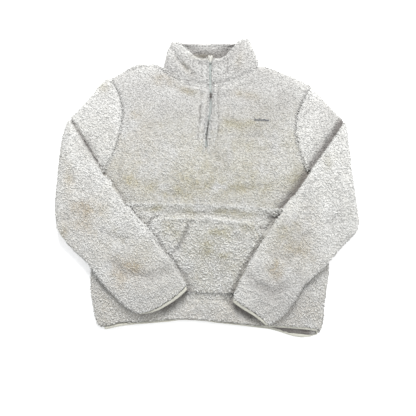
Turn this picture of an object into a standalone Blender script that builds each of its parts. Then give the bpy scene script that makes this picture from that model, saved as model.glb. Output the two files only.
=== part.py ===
"""A sherpa fleece pullover with a stand collar and a quarter zip.

It lies face up on a surface at z = 0, with both sleeves folded in over its front.
+X is the wearer's left, +Y runs from the hem to the collar and +Z is up. The origin
is on the surface, under the centre of the garment. Lengths are millimetres until a
mesh is made, and an outline's columns are x and y.
"""

import math

import bmesh
import bpy
from mathutils import Vector

MM = 0.001
SEAM_GAP = 0.3
ARMHOLE_GAP = 0.8  # along a curve that both pieces follow with straight facets

# Cloth, outer side to inner side, pile and all
WALL = 6.0
COLLAR_WALL = 7.0
POCKET_WALL = 5.0
BINDING_WALL = 3.4
BINDING_DEPTH = 9.0
EDGE_WALL = 3.0  # the least at a rounded edge

# Heights over the surface
FRONT_TOP = 14.0
COLLAR_TOP = 15.5
COLLAR_LIFT = 2.5
SLEEVE_HEIGHT = 15.0
SLEEVE_AT_ARMHOLE = 14.0
SLEEVE_REST = 15.6  # underside of a sleeve where it lies on the front
SLEEVE_ON_POCKET = 20.4
SLEEVE_DROOP = 8.0
FOLD_AXIS = 16.5
HEM_HEIGHT = 10.6
CUFF_HEIGHT = 10.4

# How the outer side comes down to an edge
SIDE_REACH, FRONT_SIDE_DROP, BACK_SIDE_DROP = 16.0, 4.9, 3.2
SEAM_REACH, SEAM_DROP = 7.0, 2.0

# Zip
ZIP_FOOT, NECK_X, COLLAR_FRONT_Y = 91.0, 8.0, 301.0
ZIP_FOOT_SHARE = 0.5  # of the grid's way from the yoke seam to the neck seam
SLIT_HALF, SLIT_HALF_AT_SLIDER = 4.5, 6.8
TAPE_WIDTH, TAPE_WALL, TAPE_TOP = 14.0, 0.8, 7.7
CHAIN_WIDTH, CHAIN_WALL = 6.4, 2.6
SLIDER_FOOT, SLIDER_LENGTH, SLIDER_WALL, CROWN_HEIGHT = 293.0, 20.0, 5.0, 3.0

# Slider outline, from its foot
SLIDER_OUTLINE = ((-3.8, 0), (3.8, 0), (4.2, 8), (5.8, 13), (5.4, 19), (2.6, 20), (0, 16),
                  (-2.6, 20), (-5.4, 19), (-5.8, 13), (-4.2, 8))

# Shares of the outlines where the grids have a line of points
UNDERARM_SHARE = 0.16
BACK_YOKE_SHARE = 0.48
SHOULDER_SHARE = 0.26
FRONT_SHOULDER_SHARE = 0.5
SLEEVE_END_SHARE = 0.98
SETTLE_SHARE = 0.22

# Edges of the smaller pieces
HEM_DROP = 3.0
POCKET_REACH, POCKET_DROP = 9.0, 2.4
POCKET_BOX = ((-163, -262), (178, -76))
CUFF_REACH, CUFF_TUCK = 8.0, 1.0
COLLAR_REACH, COLLAR_DROP, COLLAR_GAP, BACK_NECK_GAP = 8.0, 3.0, 0.7, 1.3
COLLAR_HEIGHT, COLLAR_WIDTH = 66.0, 125.0  # of its front, from the zip to the fold at one side

# Where the collar turns back: side, sign, x at the neck seam, x at the rim
COLLAR_AXES = (("right", -1, -95, -74), ("left", 1, 115, 88))

# Steps of the grids, and the lengths that they divide
ROUND_STEPS, FLAT_STEPS, BEND_STEPS, COLLAR_BACK_STEPS, ZIP_STEPS = 4, 8, 6, 12, 14
BACK_LENGTH, FRONT_WIDTH, FRONT_LENGTH, LOWER_LENGTH = 600.0, 250.0, 290.0, 270.0
POCKET_WIDTH, POCKET_LENGTH = 300.0, 178.0

HEM_RIGHT, HEM_LEFT = -247.0, 266.0
NECK_FRONT = ((-104, 281), (-94, 272), (-77, 260), (-53, 248), (-29, 242), (8, 239), (43, 243),
              (79, 257), (103, 271), (124, 288))
NECK_BACK = ((-104, 281), (-75, 275), (-40, 271), (8, 269), (55, 271), (95, 278), (124, 288))
YOKE = ((-274, -44), (-190, -46), (-101, -47), (-5, -48), (79, -54), (182, -60), (287, -62))
COLLAR_FRONT_TOP = ((-83, 344), (-65, 334), (-50, 322), (-36, 310), (-24, 303), (8, 301), (36, 302),
                    (48, 310), (62, 326), (77, 343), (97, 353))
COLLAR_BACK_TOP = ((-83, 344), (-72, 346), (-53, 342), (-17, 339), (19, 340), (55, 341), (74, 346),
                   (97, 353))
HEM_FRONT = ((-247, -341), (-228, -337), (-209, -331), (-185, -326), (-137, -322), (-65, -316),
             (7, -321), (55, -325), (103, -332), (146, -338), (199, -342), (240, -346), (266, -350))
HEM_BACK = ((-247, -341), (-228, -337), (-209, -331), (-185, -326), (-137, -321), (-65, -315),
            (7, -320), (55, -325), (103, -334), (146, -342), (187, -349), (223, -355), (266, -352))
HEM_DEPTH = ((-247, 7), (-225, 8), (-195, 7), (-165, 3.5), (130, 3.5), (160, 8), (266, 9))
POCKET_TOP = ((-122, -76), (-89, -74), (-53, -74), (-17, -74), (19, -77), (55, -81), (113, -87))
POCKET_FOOT = ((-163, -252), (-48, -254), (60, -257), (178, -264))

# The zip's middle line: y, then x
ZIP_LEAN = ((-48, -5), (20, -4), (91, -2), (110, -2), (144, 2), (182, 8), (216, 9), (239, 8), (320, 8))

OUTLINES = {
    "right": {
        "shoulder": ((-104, 281), (-118, 288), (-137, 294), (-156, 290), (-197, 274), (-227, 256)),
        "armhole": ((-227, 256), (-216, 235), (-207, 216), (-201, 195), (-199, 176), (-202, 154),
                    (-214, 104), (-226, 74), (-254, 29), (-266, 5)),
        "side_above_yoke": ((-266, 5), (-274, -44)),
        "side_below_yoke": ((-275, -142), (-276, -209), (-276, -245), (-272, -281), (-266, -310),
                            (-257, -331)),
        "collar_edge": ((-104, 282), (-100, 302), (-94, 324), (-89, 337), (-83, 344)),
        "pocket_opening": ((-163, -252), (-161, -182), (-151, -137), (-142, -106), (-133, -85),
                           (-122, -76)),
        "overarm_low": ((-227, 256), (-242, 252), (-254, 244), (-269, 228), (-305, 187), (-324, 167)),
        "underarm_low": ((-266, 5), (-350, -62)),
        "fold_start": ((-324, 167), (-350, -62)),
        "fold_edge": ((-338, 148), (-346, 122), (-355, 60), (-359, 14), (-364, -34), (-365, -62),
                      (-361, -88)),
        "fold_end": ((-325, 156), (-353, -109)),
        "overarm_high": ((-325, 156), (-314, 134), (-274, 70), (-247, 26), (-216, -12), (-190, -53),
                         (-127, -122), (-98, -163), (-70, -198), (-55, -218), (-46, -247)),
        "underarm_high": ((-353, -109), (-334, -139), (-310, -164), (-283, -187), (-264, -214),
                          (-245, -240), (-221, -264), (-197, -287), (-178, -300), (-158, -305)),
        "cuff": ((-46, -247), (-65, -264), (-89, -281), (-113, -295), (-137, -303), (-158, -305)),
    },
    "left": {
        "shoulder": ((124, 288), (144, 284), (175, 271), (206, 258), (246, 238)),
        "armhole": ((246, 238), (234, 215), (223, 195), (215, 174), (211, 149), (212, 122), (218, 98),
                    (228, 70), (242, 38), (276, -2)),
        "side_above_yoke": ((276, -2), (287, -62)),
        "side_below_yoke": ((290, -130), (290, -182), (288, -226), (282, -262), (277, -298), (272, -326)),
        "collar_edge": ((124, 289), (118, 307), (110, 329), (103, 343), (97, 353)),
        "pocket_opening": ((178, -264), (156, -182), (138, -130), (130, -106), (122, -94), (113, -87)),
        "overarm_low": ((246, 238), (262, 226), (283, 204), (305, 181), (324, 162)),
        "underarm_low": ((276, -2), (348, -68)),
        "fold_start": ((324, 162), (348, -68)),
        "fold_edge": ((333, 142), (338, 110), (343, 72), (348, 24), (355, -17), (360, -53), (364, -88)),
        "fold_end": ((325, 151), (356, -110)),
        "overarm_high": ((325, 151), (307, 120), (286, 91), (254, 46), (223, -2), (163, -82),
                         (139, -120), (94, -192), (79, -221), (65, -254), (60, -276)),
        "underarm_high": ((356, -110), (343, -125), (324, -146), (302, -168), (283, -192), (257, -216),
                          (230, -240), (216, -266), (197, -293), (175, -317), (142, -334)),
        "cuff": ((60, -276), (84, -293), (118, -314), (142, -334)),
    },
}

# Soft folds that stand up from a piece: both ends, half-width and height
FOLDS = {
    "front": (
        (-194, 44, -178, -22, 9, 2.4), (-168, 40, -112, 22, 13, 2.2), (-160, -4, -112, -30, 13, 2.0),
        (-150, 150, -96, 214, 18, 2.2), (-60, 60, -20, -20, 20, 1.8), (60, 70, 118, 10, 20, 2.0),
        (130, 180, 176, 228, 18, 2.2), (196, 60, 150, 24, 13, 2.0), (24, 120, 60, 190, 16, 1.6),
        (-30, -285, 40, -270, 16, 2.0), (-246, -306, -263, -262, 9, 1.8), (246, -318, 262, -262, 10, 2.0),
    ),
    "pocket": (
        (-50, -103, -77, -163, 11, 2.6), (30, -120, 74, -190, 20, 1.8), (96, -110, 110, -150, 14, 1.6),
    ),
    "sleeve_right": (
        (-330, 70, -288, 20, 14, 2.8), (-340, -20, -268, -58, 16, 3.0), (-300, -112, -226, -92, 15, 2.6),
        (-236, -160, -180, -132, 16, 2.4), (-196, -232, -140, -196, 15, 2.4),
        (-258, 192, -236, 120, 15, 2.4), (-300, 160, -262, 112, 13, 2.2),
    ),
    "sleeve_left": (
        (332, 76, 294, 24, 14, 2.8), (338, -40, 262, -66, 16, 3.0), (296, -128, 232, -104, 15, 2.6),
        (238, -186, 180, -150, 16, 2.4), (190, -262, 132, -222, 15, 2.4), (262, 188, 240, 112, 15, 2.4),
        (304, 156, 270, 110, 13, 2.2),
    ),
    "collar": (
        (-66, 328, -44, 298, 8, 2.2), (-20, 290, -18, 256, 7, 1.6), (50, 296, 50, 268, 7, 1.8),
        (78, 306, 74, 276, 10, 1.8),
    ),
}

FLEECE = ("sherpa_fleece", (0.80, 0.76, 0.68), 0.95)
RIB = ("elastic_binding", (0.84, 0.80, 0.69), 0.8)
TAPE = ("zip_tape", (0.80, 0.81, 0.76), 0.8)
COIL = ("zip_coil", (0.82, 0.86, 0.80), 0.45)
SLIDER = ("slider_enamel", (0.85, 0.83, 0.75), 0.35)


def table_at(table, x):
    """The second column where the first one is x, smooth from row to row."""
    rows = len(table)
    k = max(0, min(rows - 2, sum(row[0] <= x for row in table) - 1))

    def slope(i):
        before, after = table[max(i - 1, 0)], table[min(i + 1, rows - 1)]
        return (after[1] - before[1]) / (after[0] - before[0])

    (x0, y0), (x1, y1) = table[k], table[k + 1]
    step = x1 - x0
    t = min(max((x - x0) / step, 0.0), 1.0)
    ease = t * t * (3 - 2 * t)
    lean = step * (t * (1 - t) ** 2 * slope(k) - t * t * (1 - t) * slope(k + 1))
    return y0 + (y1 - y0) * ease + lean


def graph(table, start, end, rise=0.0):
    """A line that follows the table from x = start to x = end."""
    def at(t):
        x = start + (end - start) * t
        return Vector((x, table_at(table, x) + rise))
    return at


def through(points):
    """A smooth line through the points, by the share of its length."""
    spots = [Vector(p) for p in points]
    marks = [0.0]
    for before, after in zip(spots, spots[1:]):
        marks.append(marks[-1] + (after - before).length)
    table_x = tuple((m / marks[-1], p.x) for m, p in zip(marks, spots))
    table_y = tuple((m / marks[-1], p.y) for m, p in zip(marks, spots))
    return lambda t: Vector((table_at(table_x, t), table_at(table_y, t)))


def turned_round(line):
    return lambda t: line(1 - t)


def joined(first, second, share):
    """Two lines end to end, the first up to that share of the whole."""
    return lambda t: first(t / share) if t <= share else second((t - share) / (1 - share))


def shifted(line, distance):
    """The line moved sideways, to the left of its own direction."""
    def at(t):
        ahead = (line(min(t + 0.01, 1.0)) - line(max(t - 0.01, 0.0))).normalized()
        return line(t) + Vector((-ahead.y, ahead.x)) * distance
    return at


def patch(bottom, top, left, right):
    """The flat surface over (u, v) between four lines that meet at its corners."""
    def at(u, v):
        across = left(v) * (1 - u) + right(v) * u
        along = bottom(u) * (1 - v) + top(u) * v
        low = bottom(0) * (1 - u) + bottom(1) * u
        high = top(0) * (1 - u) + top(1) * u
        return across + along - low * (1 - v) - high * v
    return at


def smooth(t):
    t = min(max(t, 0.0), 1.0)
    return t * t * (3 - 2 * t)


def from_segment(spot, start, end):
    """The distance to a segment, and the share of it where it is nearest."""
    run = end - start
    t = min(max((spot - start).dot(run) / run.length_squared, 0.0), 1.0)
    return (spot - start - run * t).length, t


def edge(line, reach, drop, pieces=48):
    """An edge of a panel, with how far in and down its outer side is rounded."""
    return [line(k / pieces) for k in range(pieces + 1)], reach, drop


def drop_at(edges, spot):
    """How far the outer side has come down at this spot, near any of the edges."""
    most = 0.0
    for spots, reach, drop in edges:
        near = min(from_segment(spot, a, b)[0] for a, b in zip(spots, spots[1:]))
        if near < reach:
            most = max(most, drop * (1 - math.sqrt(1 - (1 - near / reach) ** 2)))
    return most


def folds_at(piece, spot):
    """How far the soft folds of this piece stand up here."""
    height = 0.0
    for x0, y0, x1, y1, width, rise in FOLDS[piece]:
        away, t = from_segment(spot, Vector((x0, y0)), Vector((x1, y1)))
        height += rise * math.exp(-((away / width) ** 2)) * (0.55 + 0.45 * math.sin(math.pi * t))
    return height


def steps(length, counts, marks=(), near=(2.5, 7.0, 16.0)):
    """Shares of a length: close together by both ends, then so many even steps to each mark."""
    ends = [n / length for n in near]
    stops = [0.0, *ends]
    knots = [ends[-1], *marks, 1 - ends[-1]]
    for a, b, count in zip(knots, knots[1:], counts):
        stops += [a + (b - a) * k / count for k in range(1, count + 1)]
    return stops + [1 - e for e in reversed(ends[:-1])] + [1.0]


def body_columns():
    """The columns that the back, the lower front and the hem's binding share."""
    return steps(HEM_LEFT - HEM_RIGHT, (4, 7, 4), marks=(SHOULDER_SHARE, 1 - SHOULDER_SHARE))


def finished(bm, name, look):
    """Makes the mesh an object of the garment, with its material."""
    mesh = bpy.data.meshes.new(name)
    bm.to_mesh(mesh)
    bm.free()
    obj = bpy.data.objects.new(name, mesh)
    GARMENT.objects.link(obj)
    title, colour, roughness = look
    material = bpy.data.materials.get(title)
    if material is None:
        material = bpy.data.materials.new(title)
        material.use_nodes = True
        shader = material.node_tree.nodes["Principled BSDF"]
        shader.inputs["Base Color"].default_value = (*colour, 1)
        shader.inputs["Roughness"].default_value = roughness
    mesh.materials.append(material)
    mesh.shade_smooth()
    mesh.set_sharp_from_angle(angle=math.radians(50))
    return obj


def cloth(name, columns, rows, place, wall, closed=False, down=False, hole=None, look=FLEECE):
    """A sheet over a grid of columns and rows, closed into a tube if asked.

    place(column, row) gives a point of the outer side and the wall's thickness there,
    and hole(column, row) says which cells of the grid are left out.
    """
    bm = bmesh.new()
    bmesh.ops.create_grid(bm, x_segments=columns, y_segments=rows, size=0.5)
    thickness = bm.verts.layers.deform.verify()
    cell = {v: (round((v.co.x + 0.5) * columns), round((v.co.y + 0.5) * rows)) for v in bm.verts}
    if hole:
        cells = {f: (min(cell[v][0] for v in f.verts), min(cell[v][1] for v in f.verts)) for f in bm.faces}
        gone = [f for f in bm.faces if hole(*cells[f])]
        bmesh.ops.delete(bm, geom=gone, context="FACES")
    for vertex in bm.verts:
        column, row = cell[vertex]
        point, thick = place(column % columns if closed else column, row)
        vertex.co = Vector(point) * MM
        vertex[thickness][0] = min(thick / wall, 1.0)
    if closed:
        bmesh.ops.remove_doubles(bm, verts=bm.verts, dist=0.001 * MM)
    if down:
        bmesh.ops.reverse_faces(bm, faces=bm.faces)
    obj = finished(bm, name, look)
    obj.vertex_groups.new(name="thickness")
    solidify = obj.modifiers.new("Wall", "SOLIDIFY")
    solidify.thickness = wall * MM
    solidify.offset = -1
    solidify.use_even_offset = False
    solidify.vertex_group = "thickness"
    return obj


def slit_half(y):
    """Half the width of the slit that the zip shows in, wider where the slider sits."""
    return SLIT_HALF + (SLIT_HALF_AT_SLIDER - SLIT_HALF) * smooth((y - 262) / 26)


def slit_edge(line, side):
    """The edge of a slit on one side of the line: -1 to the wearer's right, 1 to the left."""
    return lambda t: line(t) + Vector((side * slit_half(line(t).y), 0))


def thinned(wall, drop):
    """The wall where its outer side has come down by drop."""
    return max(wall - drop, EDGE_WALL)


def middle_lift(y):
    """How far the collar's front stands off the back of the collar, towards its top edge."""
    return COLLAR_LIFT * smooth((y - 236) / 64)


def side_seam(side, foot, head):
    """The side seam from the corner of the hem up to the yoke seam."""
    return through((tuple(foot), *reversed(OUTLINES[side]["side_below_yoke"]), tuple(head)))


def upper_side(side):
    """The rest of a panel's side: the side seam above the yoke, then the armhole."""
    outline = OUTLINES[side]
    short = turned_round(through(outline["side_above_yoke"]))
    return joined(short, turned_round(through(outline["armhole"])), UNDERARM_SHARE)


def build_back():
    hem = graph(HEM_BACK, HEM_RIGHT, HEM_LEFT, rise=BINDING_DEPTH)
    sides = {}
    for side, foot in (("right", hem(0)), ("left", hem(1))):
        upper = upper_side(side)
        sides[side] = joined(side_seam(side, foot, upper(0)), upper, BACK_YOKE_SHARE)
    shoulders = {side: through(OUTLINES[side]["shoulder"]) for side in sides}
    neck = graph(NECK_BACK, NECK_BACK[0][0], NECK_BACK[-1][0])
    first, last = SHOULDER_SHARE, 1 - SHOULDER_SHARE
    across = joined(neck, shoulders["left"], (last - first) / last)
    top = joined(turned_round(shoulders["right"]), across, first)
    surface = patch(hem, top, sides["right"], sides["left"])
    edges = [edge(line, SIDE_REACH, BACK_SIDE_DROP) for line in (*sides.values(), *shoulders.values())]
    us = body_columns()
    underarm = BACK_YOKE_SHARE + (1 - BACK_YOKE_SHARE) * UNDERARM_SHARE
    vs = steps(BACK_LENGTH, (5, 2, 11), marks=(BACK_YOKE_SHARE, underarm))

    def place(column, row):
        spot = surface(us[column], vs[row])
        drop = drop_at(edges, spot)
        return (spot.x, spot.y, drop), thinned(WALL, drop)
    return cloth("back_panel", len(us) - 1, len(vs) - 1, place, WALL, down=True)


def zip_line(start, end):
    """The middle of the zip between two heights up the garment."""
    def at(t):
        y = start + (end - start) * t
        return Vector((table_at(ZIP_LEAN, y), y))
    return at


def build_front_upper():
    """One piece from the yoke seam up, slit for the zip from the neck seam down."""
    yoke_y, neck_y = table_at(YOKE, ZIP_LEAN[0][1]), table_at(NECK_FRONT, NECK_X)
    middle = joined(zip_line(yoke_y, ZIP_FOOT), zip_line(ZIP_FOOT, neck_y), ZIP_FOOT_SHARE)
    halves, edges = {}, []
    for side, sign in (("right", -1), ("left", 1)):
        outline = OUTLINES[side]
        slit = slit_edge(middle, sign)
        armhole = turned_round(through(outline["armhole"]))
        below = turned_round(through(outline["side_above_yoke"]))
        outer = joined(below, armhole, UNDERARM_SHARE)
        shoulder = turned_round(through(outline["shoulder"]))
        neck = graph(NECK_FRONT, shoulder(1).x, slit(1).x)
        yoke = graph(YOKE, below(0).x, slit(0).x)
        top = joined(shoulder, neck, FRONT_SHOULDER_SHARE)
        halves[side] = patch(yoke, top, outer, slit)
        edges += [edge(below, SIDE_REACH, FRONT_SIDE_DROP), edge(shoulder, SIDE_REACH, FRONT_SIDE_DROP),
                  edge(armhole, SEAM_REACH, SEAM_DROP), edge(neck, SEAM_REACH, SEAM_DROP),
                  edge(yoke, SEAM_REACH, SEAM_DROP),
                  edge(lambda t, s=slit: s(ZIP_FOOT_SHARE + t * (1 - ZIP_FOOT_SHARE)), SEAM_REACH, SEAM_DROP)]
    us = steps(FRONT_WIDTH, (3, 5), marks=(FRONT_SHOULDER_SHARE,))
    vs = steps(FRONT_LENGTH, (2, 4, 6), marks=(UNDERARM_SHARE, ZIP_FOOT_SHARE))
    count, foot = len(us), vs.index(ZIP_FOOT_SHARE)

    def place(column, row):
        if column < count:
            spot = halves["right"](us[column], vs[row])
        else:
            spot = halves["left"](us[2 * count - 1 - column], vs[row])
        drop = drop_at(edges, spot)
        return (spot.x, spot.y, FRONT_TOP + folds_at("front", spot) - drop), thinned(WALL, drop)

    def slit_cell(column, row):
        return column == count - 1 and row >= foot
    return cloth("front_upper", 2 * count - 1, len(vs) - 1, place, WALL, hole=slit_cell)


def lower_front_surface():
    """The front below the yoke seam, with its edges; the pocket is made from it too."""
    hem = front_foot()
    yoke = graph(YOKE, YOKE[0][0], YOKE[-1][0], rise=-2 * SEAM_GAP)
    sides = {"right": side_seam("right", hem(0), yoke(0)), "left": side_seam("left", hem(1), yoke(1))}
    surface = patch(hem, yoke, sides["right"], sides["left"])
    edges = [edge(line, SIDE_REACH, FRONT_SIDE_DROP) for line in sides.values()]
    edges += [edge(yoke, SEAM_REACH, SEAM_DROP), edge(hem, SEAM_REACH, HEM_DROP)]
    return surface, edges


def front_foot():
    """The foot of the front panel, above its binding."""
    def at(t):
        x = HEM_RIGHT + (HEM_LEFT - HEM_RIGHT) * t
        return Vector((x, table_at(HEM_FRONT, x) + table_at(HEM_DEPTH, x)))
    return at


def build_front_lower():
    surface, edges = lower_front_surface()
    us = body_columns()
    vs = steps(LOWER_LENGTH, (9,))

    def place(column, row):
        spot = surface(us[column], vs[row])
        drop = drop_at(edges, spot)
        return (spot.x, spot.y, FRONT_TOP + folds_at("front", spot) - drop), thinned(WALL, drop)
    return cloth("front_lower", len(us) - 1, len(vs) - 1, place, WALL)


def build_pocket():
    """The kangaroo pocket, made from the front's outer side moved out."""
    _, front_edges = lower_front_surface()
    top, foot = through(POCKET_TOP), through(POCKET_FOOT)
    right = through(OUTLINES["right"]["pocket_opening"])
    left = through(OUTLINES["left"]["pocket_opening"])
    surface = patch(foot, top, right, left)
    edges = [edge(line, POCKET_REACH, POCKET_DROP) for line in (top, foot, right, left)]
    us = steps(POCKET_WIDTH, (10,), near=(2.0, 5.0, 10.0))
    vs = steps(POCKET_LENGTH, (7,), near=(2.0, 5.0, 10.0))

    def place(column, row):
        spot = surface(us[column], vs[row])
        front = FRONT_TOP + folds_at("front", spot) - drop_at(front_edges, spot)
        drop = drop_at(edges, spot)
        height = front + 2 * SEAM_GAP + POCKET_WALL - drop + folds_at("pocket", spot)
        return (spot.x, spot.y, height), POCKET_WALL - drop + 0.7 * folds_at("pocket", spot)
    return cloth("kangaroo_pocket", len(us) - 1, len(vs) - 1, place, POCKET_WALL + 2)


def on_pocket(spot):
    """The underside of a sleeve that lies on the front and climbs over the pocket."""
    (x0, y0), (x1, y1) = POCKET_BOX
    away = math.hypot(max(x0 - spot.x, 0, spot.x - x1), max(y0 - spot.y, 0, spot.y - y1))
    return SLEEVE_REST + (SLEEVE_ON_POCKET - SLEEVE_REST) * (1 - smooth((away - 6) / 46))


def droop(spot, outline):
    """How far a folded sleeve hangs down where neither the body nor its own upper part is below."""
    (x0, y0), (x1, y1) = outline["underarm_low"]
    beyond = (spot.x - x0) * (1 if x1 > x0 else -1)
    seam = y0 + (y1 - y0) / abs(x1 - x0) * max(beyond, 0)
    return SLEEVE_DROOP * smooth((beyond - 4) / 60) * smooth((seam - spot.y) / 90)


class Sleeve:
    """A flattened tube that lies beside the body, folds back at its outer edge and crosses the front."""

    def __init__(self, side):
        self.side = side
        self.name = "sleeve_" + side
        self.outline = outline = OUTLINES[side]
        lines = {name: through(points) for name, points in outline.items()}
        outward = -1 if side == "right" else 1
        armhole = shifted(lines["armhole"], outward * ARMHOLE_GAP)
        for name, w in (("overarm_low", 0), ("underarm_low", 1)):
            lines[name] = through((tuple(armhole(w)), *outline[name][1:]))
        self.start, self.edge, self.end = lines["fold_start"], lines["fold_edge"], lines["fold_end"]
        self.low = patch(armhole, self.start, lines["overarm_low"], lines["underarm_low"])
        self.high = patch(self.end, lines["cuff"], lines["overarm_high"], lines["underarm_high"])
        self.length_low = (lines["underarm_low"](1) - lines["underarm_low"](0)).length
        self.length_high = (lines["overarm_high"](1) - lines["overarm_high"](0)).length

    def section(self, height):
        """Points round a flattened section: distance in from either edge, and height."""
        radius = height / 2
        ring = []
        for k in range(ROUND_STEPS):
            turn = math.pi * k / ROUND_STEPS
            ring.append((1, radius - radius * math.sin(turn), radius * math.cos(turn)))
        ring += [(k / FLAT_STEPS, radius, -radius) for k in range(FLAT_STEPS, 0, -1)]
        for k in range(ROUND_STEPS):
            turn = math.pi * k / ROUND_STEPS
            ring.append((0, radius - radius * math.sin(turn), -radius * math.cos(turn)))
        ring += [(k / FLAT_STEPS, radius, radius) for k in range(FLAT_STEPS)]
        return ring

    def along(self, station):
        """A station's flat line, from the overarm to the underarm."""
        part, share = station
        if part == "low":
            return lambda w: self.low(w, share)
        if part == "high":
            return lambda w: self.high(w, share)
        return lambda w: self.start(w).lerp(self.end(w), share)

    def height(self, station):
        """The height of the tube, less at its two ends."""
        part, share = station
        if part == "low":
            full = SLEEVE_AT_ARMHOLE + (SLEEVE_HEIGHT - SLEEVE_AT_ARMHOLE) * smooth(share / 0.4)
            return full - rounded(share * self.length_low, SEAM_REACH, SEAM_DROP)
        if part == "high":
            left = (SLEEVE_END_SHARE - share) * self.length_high
            return SLEEVE_HEIGHT - rounded(left, CUFF_REACH, SLEEVE_HEIGHT - CUFF_HEIGHT - 1)
        return SLEEVE_HEIGHT

    def point(self, station, ring_point):
        """The place of a section's point, after the fold."""
        share_across, inset, rise = ring_point
        line = self.along(station)
        width = (line(1) - line(0)).length
        w = inset / width + share_across * (1 - 2 * inset / width)
        spot = line(w)
        part, share = station
        top = smooth((abs(rise) - 3) / 3) * smooth(inset * 3)
        if part == "low":
            height = self.height(station)
            fold = folds_at(self.name, spot) * top if rise > 0 else 0
            return Vector((spot.x, spot.y, height / 2 + rise + fold))
        if part == "bend":
            radius = FOLD_AXIS - SLEEVE_HEIGHT / 2 - rise
            out = (self.edge(w) - self.start(w).lerp(self.end(w), 0.5)) * (radius / FOLD_AXIS)
            spot = spot + out * math.sin(math.pi * share)
            return Vector((spot.x, spot.y, FOLD_AXIS - radius * math.cos(math.pi * share)))
        rest = on_pocket(spot) - droop(spot, self.outline)
        under = FOLD_AXIS + (FOLD_AXIS - SLEEVE_HEIGHT)
        middle = under + (rest - under) * smooth(share / SETTLE_SHARE) + SLEEVE_HEIGHT / 2
        fold = folds_at(self.name, spot) * top if rise < 0 else 0
        return Vector((spot.x, spot.y, middle - rise + fold))


def rounded(distance, reach, drop):
    """How far the outer side has come down at this distance from an edge."""
    if distance >= reach:
        return 0.0
    return drop * (1 - math.sqrt(1 - (1 - distance / reach) ** 2))


def build_sleeve(sleeve):
    low = steps(sleeve.length_low, (5,), near=(2.5, 7.0))
    low = [s for s in low if s < 0.96] + [1.0]
    high = [s * SLEEVE_END_SHARE for s in steps(sleeve.length_high, (13,), near=(3.0, 8.0))[2:]]
    stations = [("low", s) for s in low]
    stations += [("bend", k / BEND_STEPS) for k in range(1, BEND_STEPS)]
    stations += [("high", 0.0)] + [("high", s) for s in high]
    ring_size = 2 * (ROUND_STEPS + FLAT_STEPS)

    def place(column, row):
        station = stations[row]
        height = sleeve.height(station)
        ring = sleeve.section(height)
        return sleeve.point(station, ring[column]), WALL - (SLEEVE_HEIGHT - height) / 2
    return cloth(sleeve.name, ring_size, len(stations) - 1, place, WALL, closed=True,
                 down=sleeve.side == "right")


def build_cuff_binding(sleeve):
    """The elastic round the end of a sleeve."""
    first = SLEEVE_END_SHARE + 2 * SEAM_GAP / sleeve.length_high
    shares = (first, first + (1 - first) * 0.5, 1.0)
    ring = sleeve.section(CUFF_HEIGHT)

    def place(column, row):
        across, inset, rise = ring[column]
        tuck = CUFF_TUCK if row < 2 else CUFF_TUCK + 0.6
        return sleeve.point(("high", shares[row]), (across, inset + tuck, rise)), BINDING_WALL
    return cloth("cuff_binding_" + sleeve.side, len(ring), 2, place, BINDING_WALL, closed=True,
                 down=sleeve.side == "right", look=RIB)


def build_hem_binding():
    """The elastic round the hem: its front half lies over its back half."""
    radius = HEM_HEIGHT / 2
    turns = [math.pi * k / ROUND_STEPS for k in range(ROUND_STEPS + 1)]
    right, left = HEM_RIGHT + radius, HEM_LEFT - radius
    spots = [HEM_RIGHT + (HEM_LEFT - HEM_RIGHT) * u for u in body_columns()]
    inside = [x for x in spots if right + 1 < x < left - 1]
    ring = [(right - radius * math.sin(t), -radius * math.cos(t)) for t in turns]
    ring += [(x, radius) for x in inside]
    ring += [(left + radius * math.sin(t), radius * math.cos(t)) for t in turns]
    ring += [(x, -radius) for x in reversed(inside)]

    def place(column, row):
        x, rise = ring[column]
        front = smooth(rise / radius)
        foot = table_at(HEM_BACK, x) * (1 - front) + table_at(HEM_FRONT, x) * front
        depth = BINDING_DEPTH * (1 - front) + table_at(HEM_DEPTH, x) * front - 2 * SEAM_GAP
        return (x, foot + depth * row / 2, radius + rise), BINDING_WALL
    return cloth("hem_binding", len(ring), 2, place, BINDING_WALL, closed=True, look=RIB)


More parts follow.
